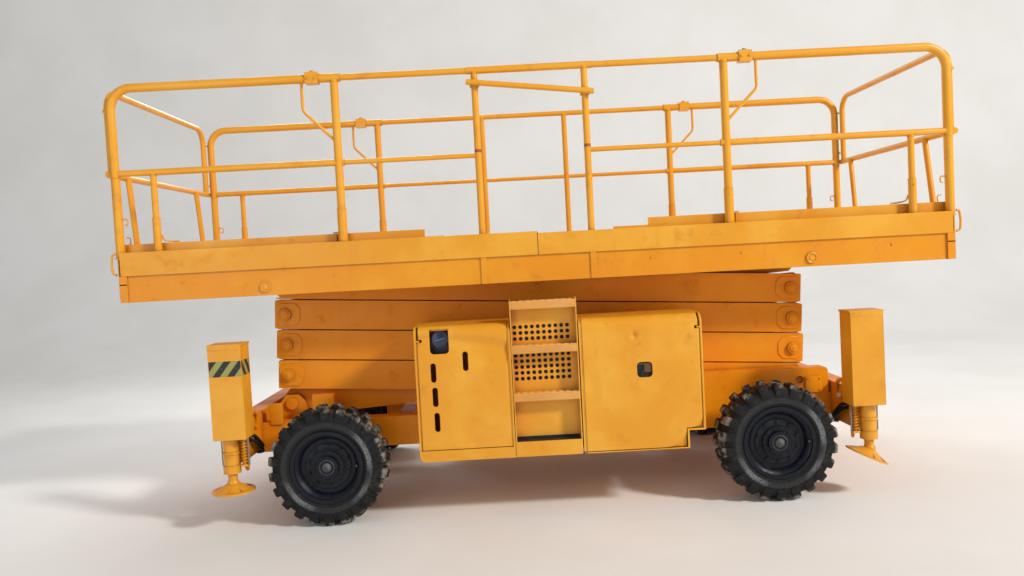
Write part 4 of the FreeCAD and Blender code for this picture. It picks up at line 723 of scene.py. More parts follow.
    @staticmethod
    def _bent(points: List[Vector], bend: float, steps: int = 6) -> List[Vector]:
        """Round the corners of a line.

        Args:
            points: the line's corners.
            bend: radius of the bends.
            steps: points in each bend.

        Returns:
            The rounded line.
        """
        line = [points[0]]
        for before, corner, after in zip(points, points[1:], points[2:]):
            back = (before - corner)
            ahead = (after - corner)
            trim = min(bend, back.length * 0.45, ahead.length * 0.45)
            start = corner + back.normalized() * trim
            end = corner + ahead.normalized() * trim
            for step in range(steps + 1):
                t = step / steps
                line.append(start * (1 - t) ** 2 + corner * 2 * t * (1 - t) + end * t ** 2)
        line.append(points[-1])
        return line

    def ring(self, centre: Point, axis: Axis, radius: float, thick: float, finish: int = 0, sides: int = 32,
             rough: float = 0.0) -> None:
        """Ring of round section, such as a weld bead.

        Args:
            centre: its middle.
            axis: the line it lies round.
            radius: radius of its middle line.
            thick: radius of its section.
            finish: index of the finish.
            sides: pieces round the ring.
            rough: share by which the section's radius wanders.
        """
        normal = Vector(axis.value)
        first = Vector((0.0, 0.0, 1.0)) if axis is not Axis.Z else Vector((1.0, 0.0, 0.0))
        second = normal.cross(first)
        wander = random.Random(len(self.mesh.verts))
        loops = []
        for index in range(sides):
            turn = 2 * math.pi * index / sides
            out = first * math.cos(turn) + second * math.sin(turn)
            middle = Vector(centre) + out * radius
            size = thick * (1 + wander.uniform(-rough, rough))
            loops.append([middle + (out * math.cos(t) + normal * math.sin(t)) * size
                          for t in (2 * math.pi * k / 8 for k in range(8))])
        self.loft(loops, finish, closed=True)

    def turned(self, profile: Sequence[Tuple[float, float]], finish: int = 0, sides: int = 72,
               closed: bool = True) -> None:
        """Form turned about the Y axis.

        Args:
            profile: points (radius, y) of its section.
            finish: index of the finish.
            sides: facets round the axis.
            closed: the section is a loop.
        """
        rings = []
        for index in range(sides):
            turn = 2 * math.pi * index / sides
            rings.append([self.mesh.verts.new((r * math.sin(turn), y, r * math.cos(turn))) for r, y in profile])
        faces = []
        count = len(profile)
        last = count if closed else count - 1
        for here, ahead in zip(rings, rings[1:] + rings[:1]):
            for index in range(last):
                after = (index + 1) % count
                faces.append(self.mesh.faces.new((here[index], ahead[index], ahead[after], here[after])))
        self._mark(faces, finish)

    def tread_plate(self, low: Point, high: Point, finish: int = 0, pitch: float = 0.052) -> None:
        """Thin sheet with raised lozenges that lie two ways.

        Args:
            low: a corner.
            high: the opposite corner.
            finish: index of the finish.
            pitch: distance between lozenges.
        """
        self.box(low, high, 0.0, finish)
        rows = int((high[1] - low[1] - 0.03) / pitch)
        columns = int((high[0] - low[0] - 0.03) / pitch)
        faces = []
        for row in range(rows):
            for column in range(columns):
                turn = math.radians(45.0 if (row + column) % 2 else -45.0)
                along = Vector((math.cos(turn), math.sin(turn), 0.0))
                side = Vector((-along.y, along.x, 0.0)) * 0.0042
                middle = Vector((low[0] + 0.015 + (column + 0.5) * pitch, low[1] + 0.015 + (row + 0.5) * pitch, high[2]))
                points = [middle - along * 0.017, middle + side, middle + along * 0.017, middle - side]
                base = [self.mesh.verts.new(point - Vector((0.0, 0.0, 0.0002))) for point in points]
                tops = [self.mesh.verts.new(middle + way * along * 0.009 + Vector((0.0, 0.0, 0.0016)))
                        for way in (-1, 1)]
                faces += [self.mesh.faces.new((base[0], base[3], tops[0])),
                          self.mesh.faces.new((base[0], tops[0], base[1])),
                          self.mesh.faces.new((base[2], base[1], tops[1])),
                          self.mesh.faces.new((base[2], tops[1], base[3])),
                          self.mesh.faces.new((base[1], tops[0], tops[1])),
                          self.mesh.faces.new((base[3], tops[1], tops[0])),
                          self.mesh.faces.new((base[0], base[1], base[2], base[3]))]
        self._mark(faces, finish)

    def bolt(self, place: Point, axis: Axis, way: int, size: float, finish: int = 0, washer: bool = True) -> None:
        """Hexagon head on a washer.

        Args:
            place: middle of its seat.
            axis: its line.
            way: +1 or -1 along the axis.
            size: radius over the corners.
            finish: index of the finish.
            washer: it sits on a washer.
        """
        seat = Vector(place)
        out = Vector(axis.value) * way
        if washer:
            self.rod(seat - out * 0.001, seat + out * size * 0.18, size * 1.25, finish, 20, 0.0004)
        self.rod(seat, seat + out * size * 0.85, size, finish, 6, size * 0.08)

    def done(self, body: str, palette: Palette, replaced: Sequence[str] = ()) -> bpy.types.Object:
        """Turn the mesh into a piece of the scene.

        Args:
            body: the body that it rides on.
            palette: the materials.
            replaced: CAD nodes that it stands for.

        Returns:
            The piece.
        """
        bmesh.ops.recalc_face_normals(self.mesh, faces=self.mesh.faces)
        for face in self.mesh.faces:
            face.smooth = True
        for edge in self.mesh.edges:
            if len(edge.link_faces) == 2 and edge.calc_face_angle(0.0) > self.SHARP:
                edge.smooth = False
        data = bpy.data.meshes.new(self.name)
        self.mesh.to_mesh(data)
        self.mesh.free()
        for finish in self.finishes:
            data.materials.append(palette.material(finish))
        piece = bpy.data.objects.new(self.name, data)
        bpy.context.scene.collection.objects.link(piece)
        piece.location = self.origin
        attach(piece, body)
        if replaced:
            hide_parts(*replaced)
        LOG.info("%s rides on %s with %d faces", self.name, body, len(data.polygons))
        return piece


class Assembly:
    """Part of the machine that is dressed together.

    Attributes:
        palette: the materials.
        nodes: the CAD nodes by name.
    """

    def __init__(self, palette: Palette, nodes: Dict[str, bpy.types.Object]) -> None:
        """Keep what every sub-assembly uses.

        Args:
            palette: the materials.
            nodes: the CAD nodes.
        """
        self.palette = palette
        self.nodes = nodes

    def dress(self, name: str, finish: Finish, bevel: float = 0.0015) -> None:
        """Give a CAD node its finish and rounded edges.

        Args:
            name: the node.
            finish: its finish.
            bevel: width of the rounded edges, none where zero.
        """
        node = self.nodes[name]
        data = node.data
        if "custom_normal" in data.attributes:
            data.attributes.remove(data.attributes["custom_normal"])
        data.materials.clear()
        data.materials.append(self.palette.material(finish))
        data.polygons.foreach_set("material_index", [0] * len(data.polygons))
        data.polygons.foreach_set("use_smooth", [True] * len(data.polygons))
        weld = node.modifiers.new("weld", "WELD")
        weld.merge_threshold = 0.00002
        if bevel > 0:
            edge = node.modifiers.new("edge", "BEVEL")
            edge.width = bevel
            edge.segments = 2
            edge.limit_method = "ANGLE"
            edge.angle_limit = math.radians(34.0)
            edge.use_clamp_overlap = True
            edge.harden_normals = False
        flat = node.modifiers.new("flat", "WEIGHTED_NORMAL")
        flat.weight = 90
        flat.keep_sharp = True
        LOG.info("dressed %s", name)


@dataclass
class WheelSet(Assembly):
    """Four wheels: tyres with lugs, dished rims and planetary hubs.

    Attributes:
        palette: the materials.
        nodes: the CAD nodes.
        centre_y: distance of a wheel from the centre plane.
        centre_z: height of a wheel's centre.
        radius: radius over the lugs, not used.
        lugs: lugs in each row.
    """

    palette: Palette
    nodes: Dict[str, bpy.types.Object]
    centre_y: float = 0.993
    centre_z: float = 0.3875
    radius: float = 0.3875
    lugs: int = 22

    PLACES = (("front", -1.4505), ("rear", 1.5045))

    def build(self) -> None:
        """Build the four wheels."""
        for end, x in self.PLACES:
            for side, way in (("left", LEFT), ("right", RIGHT)):
                corner = end + "_" + side
                origin = (x, way * self.centre_y, self.centre_z)
                self.tyre(corner, origin, way)
                self.dress("rim_" + corner, RIM, 0.001)
                self.rim(corner, origin, way)

    def tyre(self, corner: str, origin: Point, way: int) -> None:
        """Carcass with bead rings and two rows of bevelled lugs.

        Args:
            corner: end and side.
            origin: centre of the wheel.
            way: side of the machine.
        """
        piece = Piece("tyre_detail_" + corner, [TYRE], origin)
        half = [(0.2225, 0.100), (0.226, 0.1085), (0.238, 0.1105), (0.243, 0.1165), (0.250, 0.1190),
                (0.253, 0.1225), (0.270, 0.1260), (0.273, 0.1245), (0.290, 0.1285), (0.306, 0.1275),
                (0.322, 0.1225), (0.337, 0.1165), (0.350, 0.1090), (0.3575, 0.099), (0.3610, 0.086),
                (0.3635, 0.045)]
        section = [(r, -y) for r, y in half] + [(r, y) for r, y in reversed(half)]
        piece.turned(section, sides=96)
        pitch = 2 * math.pi / self.lugs
        for row, start in ((way, math.pi), (-way, math.pi + pitch / 2)):
            for index in range(self.lugs):
                self.lug(piece, row, start + index * pitch)
        piece.done("wheel_" + corner, self.palette, ["tyre_" + corner])

    def lug(self, piece: Piece, row: int, turn: float) -> None:
        """Chevron lug that wraps over the shoulder.

        Args:
            piece: the tyre.
            row: side of the tread.
            turn: its place round the axle.
        """
        # Each station: distance from the middle, top radius, root radius, half width, lead along the tread
        stations = ((0.004, 0.3860, 0.350, 0.0170, -0.012), (0.030, 0.3873, 0.350, 0.0220, -0.008),
                    (0.075, 0.3870, 0.350, 0.0270, 0.002), (0.098, 0.3860, 0.348, 0.0290, 0.005),
                    (0.114, 0.3800, 0.343, 0.0290, 0.006), (0.1235, 0.3650, 0.337, 0.0275, 0.006),
                    (0.1300, 0.3440, 0.322, 0.0250, 0.006), (0.1315, 0.3240, 0.304, 0.0200, 0.006))
        loops = []
        spin = Matrix.Rotation(turn, 4, "Y")
        for y, top, root, half, lead in stations:
            chamfer = min(0.0065, (top - root) * 0.45)
            section = [(-half - 0.003, root), (-half, top - chamfer), (-half + chamfer, top),
                       (half - chamfer, top), (half, top - chamfer), (half + 0.003, root)]
            loops.append([spin @ Vector((lead + x, row * y, z)) for x, z in section])
        piece.loft(loops)

    def rim(self, corner: str, origin: Point, way: int) -> None:
        """Dish, nuts, hub cover bolts and valve on a CAD rim.

        Args:
            corner: end and side.
            origin: centre of the wheel.
            way: side of the machine.
        """
        piece = Piece("rim_detail_" + corner, [RIM, RIM_WORN, HUB_PALE], origin)
        dish = [(0.2130, 0.1080), (0.2130, 0.1010), (0.1960, 0.0920), (0.1830, 0.0700), (0.1780, 0.0590),
                (0.1780, 0.0560), (0.2130, 0.0560)]
        piece.turned([(r, way * y) for r, y in dish])
        lip = [(0.2140, 0.1150), (0.2180, 0.1195), (0.2330, 0.1198), (0.2378, 0.1170), (0.2330, 0.1185),
               (0.2180, 0.1180)]
        piece.turned([(r, way * y) for r, y in lip], 1)
        step = [(0.1500, 0.0575), (0.1500, 0.0640), (0.1465, 0.0665), (0.1200, 0.0665), (0.1160, 0.0700),
                (0.1040, 0.0700), (0.1040, 0.0575)]
        piece.turned([(r, way * y) for r, y in step], 1)
        for index in range(10):
            turn = 2 * math.pi * index / 10
            seat = (0.134 * math.sin(turn), way * 0.0660, 0.134 * math.cos(turn))
            piece.bolt(seat, Axis.Y, way, 0.0125, 1)
            piece.rod(seat, (seat[0], way * 0.083, seat[2]), 0.0062, 1, 12, 0.0006)
        for index in range(12):
            turn = 2 * math.pi * (index + 0.5) / 12
            piece.bolt((0.0885 * math.sin(turn), way * 0.0890, 0.0885 * math.cos(turn)), Axis.Y, way, 0.0075, 1)
        piece.ring((0.0, way * 0.1145, 0.0), Axis.Y, 0.048, 0.0030, 2, 40)
        piece.rod((0.0, way * 0.1130, 0.0), (0.0, way * 0.1175, 0.0), 0.030, 2, 32)
        piece.bolt((0.0, way * 0.1168, 0.0), Axis.Y, way, 0.0016, 1, washer=False)
        piece.rod((0.196, way * 0.082, 0.0), (0.192, way * 0.112, 0.0), 0.0055, 2, 12)
        piece.done("wheel_" + corner, self.palette)


@dataclass
class RunningGear(Assembly):
    """Axles, knuckles and tie rod.

    Attributes:
        palette: the materials.
        nodes: the CAD nodes.
    """

    palette: Palette
    nodes: Dict[str, bpy.types.Object]

    def build(self) -> None:
        """Dress the axles and add their bolts."""
        for name in ("front_axle", "rear_axle", "knuckle_left", "knuckle_right", "tie_rod"):
            self.dress(name, AXLE, 0.002)
        for end, x in WheelSet.PLACES:
            piece = Piece("axle_bolts_" + end, [AXLE, STEEL])
            for index in range(10):
                turn = 2 * math.pi * index / 10
                z = 0.3875 + 0.098 * math.cos(turn)
                for y, way in ((-0.040, -1), (0.220, 1)):
                    piece.rod((x + 0.098 * math.sin(turn), y + 0.004 * way, z),
                              (x + 0.098 * math.sin(turn), y - 0.020 * way, z), 0.009, 0, 6)
            piece.ring((x, 0.090, 0.3875), Axis.Y, 0.1270, 0.0040, 0, 48)
            for side in (LEFT, RIGHT):
                for shift in (-0.075, 0.075):
                    piece.bolt((x + shift, side * 0.5975, 0.4795), Axis.Z, -1, 0.012, 1)
            piece.done("chassis", self.palette)


@dataclass
class Cabinets(Assembly):
    """Side cabinets, their doors, the ladder and the engine block.

    Attributes:
        palette: the materials.
        nodes: the CAD nodes.
        front: place of the doors' outer face.
        roll: radius of their rolled top edge.
        sheet: thickness in which the doors' dents lie.
        cell: size of the doors' mesh.
        treads: height of each tread and of its lip.
    """

    palette: Palette
    nodes: Dict[str, bpy.types.Object]
    front: float = 1.125
    roll: float = 0.070
    sheet: float = 0.019
    cell: float = 0.014
    treads: Tuple[Tuple[float, float], ...] = ((1.398, 0.048), (1.110, 0.048), (0.800, 0.048), (0.490, 0.087))

    def build(self) -> None:
        """Dress and detail the side units."""
        for side in ("left", "right"):
            self.dress("cabinet_" + side, YELLOW, 0.002)
        self.dress("ladder", YELLOW, 0.001)
        self.dress("engine_block", AXLE, 0.004)
        for side, way in (("left", LEFT), ("right", RIGHT)):
            for end, damage in DOOR_DAMAGE.items():
                self.door(end + "_" + side, way, damage)
            self.gauge(side, way)
            self.latch_and_hole_shade(side, way)
            self.seals(side, way)
        self.tread_edges()
        self.sill_and_shade()
        self.engine_fittings()

    def door(self, corner: str, way: int, damage: Sequence[Damage]) -> None:
        """Door sheet with its creases and dents.

        Args:
            corner: end and side.
            way: sign of the side.
            damage: creases and dents.
        """
        node = self.nodes["door_" + corner]
        piece = Piece("door_sheet_" + corner, [YELLOW])
        mesh = piece.mesh
        mesh.from_mesh(node.data)
        bmesh.ops.remove_doubles(mesh, verts=mesh.verts, dist=0.00002)
        bmesh.ops.dissolve_limit(mesh, angle_limit=math.radians(0.4), verts=mesh.verts, edges=mesh.edges)
        piece.soften(0.0016)
        low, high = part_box("door_" + corner)
        for axis, start, end in ((Vector((1, 0, 0)), low[0], high[0]), (Vector((0, 0, 1)), low[2], high[2])):
            for index in range(1, int((end - start) / self.cell)):
                every = list(mesh.verts) + list(mesh.edges) + list(mesh.faces)
                bmesh.ops.bisect_plane(mesh, geom=every, plane_co=axis * (start + index * self.cell), plane_no=axis)
        for vert in mesh.verts:
            share = (abs(vert.co.y) - self.front + self.sheet) / self.sheet
            if share > 0:
                vert.co.y -= way * min(share, 1.0) * sum(mark.depth(vert.co.x, vert.co.z) for mark in damage)
        piece.done("door_" + corner, self.palette, ["door_" + corner])

    def gauge(self, side: str, way: int) -> None:
        """Round gauge behind the front door's window.

        Args:
            side: side of the machine.
            way: its sign.
        """
        piece = Piece("gauge_" + side, [BLUE, SLATE, STEEL, BLACK_AND_SHADE])
        x, z = -0.674, 1.180
        back = way * (self.front - 0.105)
        face = way * (self.front - 0.062)
        piece.box((-0.752, back, 1.060), (-0.601, back + way * 0.006, 1.240), finish=1)
        piece.rod((x, back, z), (x, face, z), 0.055, 3, 40, 0.004)
        piece.ring((x, face, z), Axis.Y, 0.0505, 0.0055, 1, 40)
        piece.rod((x, face, z), (x, face + way * 0.005, z), 0.046, 0, 40, 0.003)
        # Steel strip across the gauge face: a painted highlight line.
        piece.box((x - 0.036, face, z - 0.003), (x + 0.036, face + way * 0.0065, z + 0.001), 0.001, 2,
                  Matrix.Rotation(math.radians(-14.0), 4, "Y"))
        piece.box((-0.752, back - way * 0.240, 1.052), (-0.601, back, 1.062), finish=1)
        piece.done("chassis", self.palette)

    def seals(self, side: str, way: int) -> None:
        """Painted strips that close the gaps beside the doors.

        Args:
            side: side of the machine.
            way: its sign.
        """
        piece = Piece("door_seals_" + side, [YELLOW])
        roll, reach, top = self.roll, 0.003, 1.268
        for low_x, high_x, low_z in ((-0.8255, -0.8225, 0.470), (-0.2375, -0.2315, 0.470),
                                     (0.2395, 0.2455, 0.406), (1.0065, 1.0095, 0.524)):
            line = [(self.front - reach, low_z)]
            for step in range(9):
                turn = math.radians(90.0 * step / 8)
                line.append((self.front - roll + (roll - reach) * math.cos(turn),
                             top - roll + (roll - reach) * math.sin(turn)))
            loops = [[Vector((low_x, way * y, z)), Vector((high_x, way * y, z)),
                      Vector((high_x, way * (y - 0.008), z)), Vector((low_x, way * (y - 0.008), z))]
                     for y, z in line]
            piece.loft(loops)
        piece.done("chassis", self.palette)

    def sill_and_shade(self) -> None:
        """Sill that runs on under the ladder, and dark sheets above it and behind the ladder that paint the shade of
        the slot and recess.
        """
        piece = Piece("ladder_sill_and_shade", [YELLOW, BLACK_AND_SHADE, PALE_YELLOW])
        piece.box((-0.2178, -1.1248, 0.392), (0.2178, -1.060, 0.4045), 0.003, 0)
        piece.box((-0.2179, -1.1180, 0.404), (-0.2121, -1.050, 0.600), 0.0, 0)
        # Dark sheets: painted shade in the slot above the sill and in the recess behind the ladder.
        piece.box((-0.2040, -1.1170, 0.4885), (0.2100, -1.0420, 0.4915), 0.0, 1)
        piece.box((-0.2040, -1.0420, 0.4900), (0.2100, -1.0390, 0.5080), 0.0, 1)
        piece.box((-0.2040, -1.0290, 0.840), (0.2100, -1.0270, 1.385), 0.0, 1)
        piece.done("chassis", self.palette)

    def latch_and_hole_shade(self, side: str, way: int) -> None:
        """Latch in the rear door's hole on a dark box that paints the hole's shade, and the bolt in its corner.

        Args:
            side: side of the machine.
            way: its sign.
        """
        piece = Piece("latch_and_hole_shade_" + side, [BLACK_AND_SHADE, RUST])
        y = way * (self.front - 0.020)
        # Dark box: painted shade inside the door's hole.
        piece.box((0.588, y - way * 0.012, 0.864), (0.696, y, 0.972), finish=0)
        piece.box((0.640, y, 0.900), (0.688, y + way * 0.009, 0.962), finish=1)
        piece.box((0.598, y, 0.948), (0.645, y + way * 0.007, 0.962), finish=1)
        piece.rod((0.628, y, 0.905), (0.628, y + way * 0.014, 0.905), 0.012, 0)
        piece.done("door_rear_" + side, self.palette)

    def tread_edges(self) -> None:
        """Serrated lips, grip bars and side plate edges of the ladder."""
        piece = Piece("ladder_grips", [PALE_YELLOW, SHADED_STACK_YELLOW])
        teeth = 34
        low_x, high_x = -0.206, 0.212
        step = (high_x - low_x) / teeth
        for z, lip in self.treads[:3]:
            for index in range(teeth):
                x = low_x + index * step
                loops = [[Vector((x, y, z - 0.001)), Vector((x + step, y, z - 0.001)),
                          Vector((x + step / 2, y, z + 0.0055))] for y in (-1.1248, -1.1188)]
                piece.loft(loops)
                for row in range(4):
                    middle = z - 0.008 - row * (lip - 0.014) / 3.4
                    shift = step / 2 if row % 2 else 0.0
                    if x + shift + step * 0.9 > high_x:
                        continue
                    piece.box((x + shift + 0.002, -1.1285, middle - 0.0045),
                              (x + shift + step * 0.62, -1.1225, middle + 0.0025), 0.0010, 0)
            piece.box((low_x, -1.1254, z - lip * 0.85), (high_x, -1.1185, z + 0.0008), 0.0008, 1)
            for row in range(5):
                y = -1.100 + row * 0.024
                for index in range(9):
                    x = -0.185 + index * 0.047
                    piece.box((x - 0.014, y - 0.004, z - 0.001), (x + 0.014, y + 0.004, z + 0.0025), 0.0012, 0)
        for x in (-0.212, 0.218):
            piece.box((x - 0.0005, -1.1250, 0.405), (x + 0.0005, -1.1190, 1.411), 0.0, 0)
        piece.done("chassis", self.palette)

    def engine_fittings(self) -> None:
        """Ribs, cap and pipe that break up the plain engine block."""
        piece = Piece("engine_fittings", [AXLE, STEEL])
        for index in range(7):
            x = 0.420 + index * 0.065
            piece.box((x, -1.0340, 0.440), (x + 0.020, -1.0280, 0.760), 0.002)
        piece.rod((0.480, -0.900, 0.796), (0.480, -0.900, 0.840), 0.030, 1, 24)
        piece.tube([(0.700, -0.900, 0.790), (0.700, -0.900, 0.880), (0.820, -0.900, 0.880),
                    (0.820, -0.900, 0.790)], 0.018, 1, 16, 0.040)
        piece.done("chassis", self.palette)


@dataclass
class Stabilisers(Assembly):
    """Housings with lids, and legs with collars, springs and ribbed feet.

    Attributes:
        palette: the materials.
        nodes: the CAD nodes.
        middle: distance of a leg from the centre plane.
        low: lower edge of a housing.
        top: upper edge of a housing.
    """

    palette: Palette
    nodes: Dict[str, bpy.types.Object]
    middle: float = 1.0375
    low: float = 0.603
    top: float = 1.225

    # Each corner: end, side of the leg's shift from the housing's middle, middle of the housing, leg
    ENDS = (("front", -1, -2.0605, -2.0845), ("rear", 1, 2.0925, 2.1165))

    def build(self) -> None:
        """Dress and detail the four stabilisers."""
        self.dress("stabiliser_housings", YELLOW, 0.002)
        for end, out, x, leg_x in self.ENDS:
            for side, way in (("left", LEFT), ("right", RIGHT)):
                corner = end + "_" + side
                self.dress("stabiliser_leg_" + corner, YELLOW, 0.0015)
                self.housing(corner, x, way)
                self.leg(corner, leg_x, out, way, tilted=corner == "rear_left")
        self.tape()

    def housing(self, corner: str, x: float, way: int) -> None:
        """Lid bolts, seams and side bolts of a housing.

        Args:
            corner: end and side.
            x: its middle.
            way: side of the machine.
        """
        piece = Piece("housing_detail_" + corner, [YELLOW, STEEL])
        for shift in (-0.075, 0.075):
            for depth in (0.035, 0.140):
                piece.bolt((x + shift, way * (1.125 - depth), self.top - 0.0085), Axis.Z, 1, 0.009)
        piece.box((x - 0.1075, way * 1.1215, self.top - 0.040), (x + 0.1075, way * 1.1262, self.top - 0.013), 0.0015)
        for shift in (-0.078, -0.030, 0.030, 0.078):
            piece.rod((x + shift, way * 1.1255, self.top - 0.027), (x + shift, way * 1.1275, self.top - 0.027),
                      0.0075, 0, 12, 0.0008)
        for shift in (-1, 1):
            edge = x + shift * 0.106
            piece.tube([(edge - shift * 0.001, way * 1.1238, self.low + 0.01),
                        (edge - shift * 0.001, way * 1.1238, self.top - 0.016)], 0.0022, 0, 8)
        piece.ring((x + (0.024 if x > 0 else -0.024), way * self.middle, self.low), Axis.Z, 0.0560, 0.0040, 0, 40, 0.25)
        piece.done("chassis", self.palette)

    def leg(self, corner: str, x: float, out: int, way: int, tilted: bool) -> None:
        """Collars, guide tube, spring and foot ribs of a leg.

        Args:
            corner: end and side.
            x: its middle.
            out: sign towards the machine's end.
            way: side of the machine.
            tilted: its foot hangs at a slant.
        """
        piece = Piece("leg_detail_" + corner, [YELLOW, STEEL, PALE_YELLOW])
        y = way * self.middle
        for z in (0.3745, 0.4205, 0.5010, 0.5110):
            piece.ring((x, y, z), Axis.Z, 0.0545, 0.0030, 0, 40)
        guide_y = y - way * 0.004
        guide_x = x - out * 0.0860
        piece.rod((guide_x, guide_y, 0.425), (guide_x, guide_y, 0.596), 0.0130, 0, 16)
        piece.box((guide_x - 0.024, guide_y - 0.024, 0.412), (guide_x + 0.024, guide_y + 0.024, 0.426), 0.002)
        piece.box((guide_x - 0.024, guide_y - 0.024, 0.590), (guide_x + 0.024, guide_y + 0.024, 0.600), 0.002)
        piece.box((min(x, guide_x), y - 0.008, 0.412), (max(x, guide_x), y + 0.008, 0.424), 0.001)
        piece.rod((guide_x - out * 0.034, y + way * 0.015, 0.424), (guide_x - out * 0.034, y + way * 0.015, 0.596),
                  0.0050, 1, 12)
        turns = 8
        steps = 16
        spring = []
        for index in range(turns * steps + 1):
            turn = 2 * math.pi * index / steps
            rise = 0.428 + (0.588 - 0.428) * index / (turns * steps)
            spring.append((guide_x + 0.0215 * math.cos(turn), guide_y + 0.0215 * math.sin(turn), rise))
        piece.tube(spring, 0.0038, 0, 6)
        rod_x = x + out * 0.060
        piece.rod((rod_x, y, 0.424), (rod_x, y, 0.594), 0.0045, 1, 12)
        centre = Vector((x, y, 0.300))
        lean = Matrix.Rotation(math.radians(25.0 * way * -1 if tilted else 0.0), 4, "Y")
        for index in range(8):
            turn = 2 * math.pi * index / 8
            out_way = Vector((math.cos(turn), math.sin(turn), 0.0))
            side = Vector((-math.sin(turn), math.cos(turn), 0.0)) * 0.003
            profile = [(0.046, -0.004), (0.132, -0.0375), (0.132, -0.045), (0.046, -0.045)]
            loops = [[centre + lean @ (out_way * r + Vector((0.0, 0.0, z)) + shift) for r, z in profile]
                     for shift in (-side, side)]
            piece.loft(loops)
        piece.done("stabiliser_leg_" + corner, self.palette)

    def tape(self) -> None:
        """Hazard tape round the front left housing."""
        piece = Piece("hazard_tape", [TAPE])
        x0, x1 = -2.1668, -1.9542
        loops = []
        outline = [(x0 - 0.0004, -0.990), (x0 - 0.0004, -1.1249), (x0, -1.1253), (x1, -1.1253),
                   (x1 + 0.0004, -1.1249), (x1 + 0.0004, -0.960)]
        for z in (1.017, 1.117):
            loops.append([Vector((x, y, z)) for x, y in outline])
        rings = [[piece.mesh.verts.new(point) for point in loop] for loop in loops]
        for index in range(len(outline) - 1):
            piece.mesh.faces.new((rings[0][index], rings[0][index + 1], rings[1][index + 1], rings[1][index]))
        piece.done("chassis", self.palette)


@dataclass
class ScissorStack(Assembly):
    """Arms, pins and lift cylinders.

    Attributes:
        palette: the materials.
        nodes: the CAD nodes.
        pin_x: distance of the end pins from the middle.
        base: height of the lowest pins.
        rise: rise of a stage at rest.
        stages: number of stages.
    """

    palette: Palette
    nodes: Dict[str, bpy.types.Object]
    pin_x: float = 1.810
    base: float = 0.716
    rise: float = 0.216
    stages: int = 4

    def build(self) -> None:
        """Dress the stack and add nuts and weld beads."""
        for stage in range(1, self.stages + 1):
            self.dress("inner_arms_%d" % stage, SHADED_STACK_YELLOW, 0.002)
            self.dress("outer_arms_%d" % stage, SHADED_STACK_YELLOW, 0.002)
            self.outer_details(stage)
            self.inner_details(stage)
        for name in ("lower", "upper"):
            self.dress("cylinder_barrel_" + name, AXLE, 0.002)
            self.dress("cylinder_rod_" + name, CHROME, 0.001)

    def outer_details(self, stage: int) -> None:
        """Weld beads of the end plates and the centre pins' keepers.

        Args:
            stage: number of the stage.
        """
        piece = Piece("outer_arm_welds_%d" % stage, [SHADED_STACK_YELLOW, STEEL])
        slope = math.atan2(self.rise, 2 * self.pin_x)
        low = self.base + (stage - 1) * self.rise
        tilt = Matrix.Rotation(slope, 4, "Y")
        for end, z, shown in ((-1, low + self.rise, stage < self.stages), (1, low, stage > 1)):
            for way in (LEFT, RIGHT):
                if not shown:
                    continue
                middle = Vector((end * self.pin_x, way * 0.4904, z)) + tilt @ Vector((end * 0.037, 0.0, 0.0))
                half = Vector((0.0400, 0.0399, 0.0998))
                piece.box(middle - half, middle + half, 0.008, 0, tilt)
        outline = [(-0.066, -0.040), (-0.031, -0.078), (0.069, -0.078), (0.104, -0.040), (0.104, 0.040),
                   (0.069, 0.078), (-0.031, 0.078), (-0.066, 0.040)]
        for up, shown in ((1, stage < self.stages), (-1, stage > 1)):
            for way in (LEFT, RIGHT):
                if not shown:
                    continue
                middle = Vector((0.0, way * 0.4903, low + self.rise / 2)) + tilt @ Vector((0.0, 0.0, up * 0.1015))
                half = Vector((1.870, 0.0402, 0.0022))
                piece.box(middle - half, middle + half, 0.0012, 0, tilt)
        for way in (LEFT, RIGHT):
            face = way * 0.5305
            for end, z in ((-1, low + self.rise), (1, low)):
                line = []
                for x, up in outline + outline[:1]:
                    run = -end * x
                    line.append((end * self.pin_x + run * math.cos(slope) + up * math.sin(slope), face,
                                 z - run * math.sin(slope) + up * math.cos(slope)))
                piece.tube(line, 0.0032, 0, 6)
        for way in (LEFT, RIGHT):
            z = low + self.rise / 2
            piece.ring((0.0, way * 0.5302, z), Axis.Y, 0.046, 0.0028, 0, 32, 0.2)
            piece.rod((0.0, way * 0.5290, z), (0.0, way * 0.5335, z), 0.044, 0, 32)
            piece.bolt((0.0, way * 0.5330, z), Axis.Y, way, 0.016)
        piece.done("outer_arms_%d" % stage, self.palette)

    def inner_details(self, stage: int) -> None:
        """Nuts and keeper plates on the end pins.

        Args:
            stage: number of the stage.
        """
        piece = Piece("inner_arm_nuts_%d" % stage, [SHADED_STACK_YELLOW, STEEL])
        low = self.base + (stage - 1) * self.rise
        ends = [(-self.pin_x, low, stage > 1), (self.pin_x, low + self.rise, stage < self.stages)]
        tilt = Matrix.Rotation(-math.atan2(self.rise, 2 * self.pin_x), 4, "Y")
        for x, z, shown in ends:
            if not shown:
                continue
            out = math.copysign(1.0, x)
            for way in (LEFT, RIGHT):
                middle = Vector((x, way * 0.4003, z)) + tilt @ Vector((out * 0.037, 0.0, 0.0))
                half = Vector((0.0400, 0.0399, 0.0998))
                piece.box(middle - half, middle + half, 0.008, 0, tilt)
        for x, z, shown in ends:
            if not shown:
                continue
            for way in (LEFT, RIGHT):
                face = way * 0.5565
                piece.rod((x, face, z), (x, face + way * 0.008, z), 0.030, 0, 6, 0.002)
                piece.rod((x, face, z), (x, face + way * 0.011, z), 0.011, 0, 16)
                piece.ring((x, way * 0.5560, z), Axis.Y, 0.0390, 0.0020, 0, 32)
        piece.done("inner_arms_%d" % stage, self.palette)


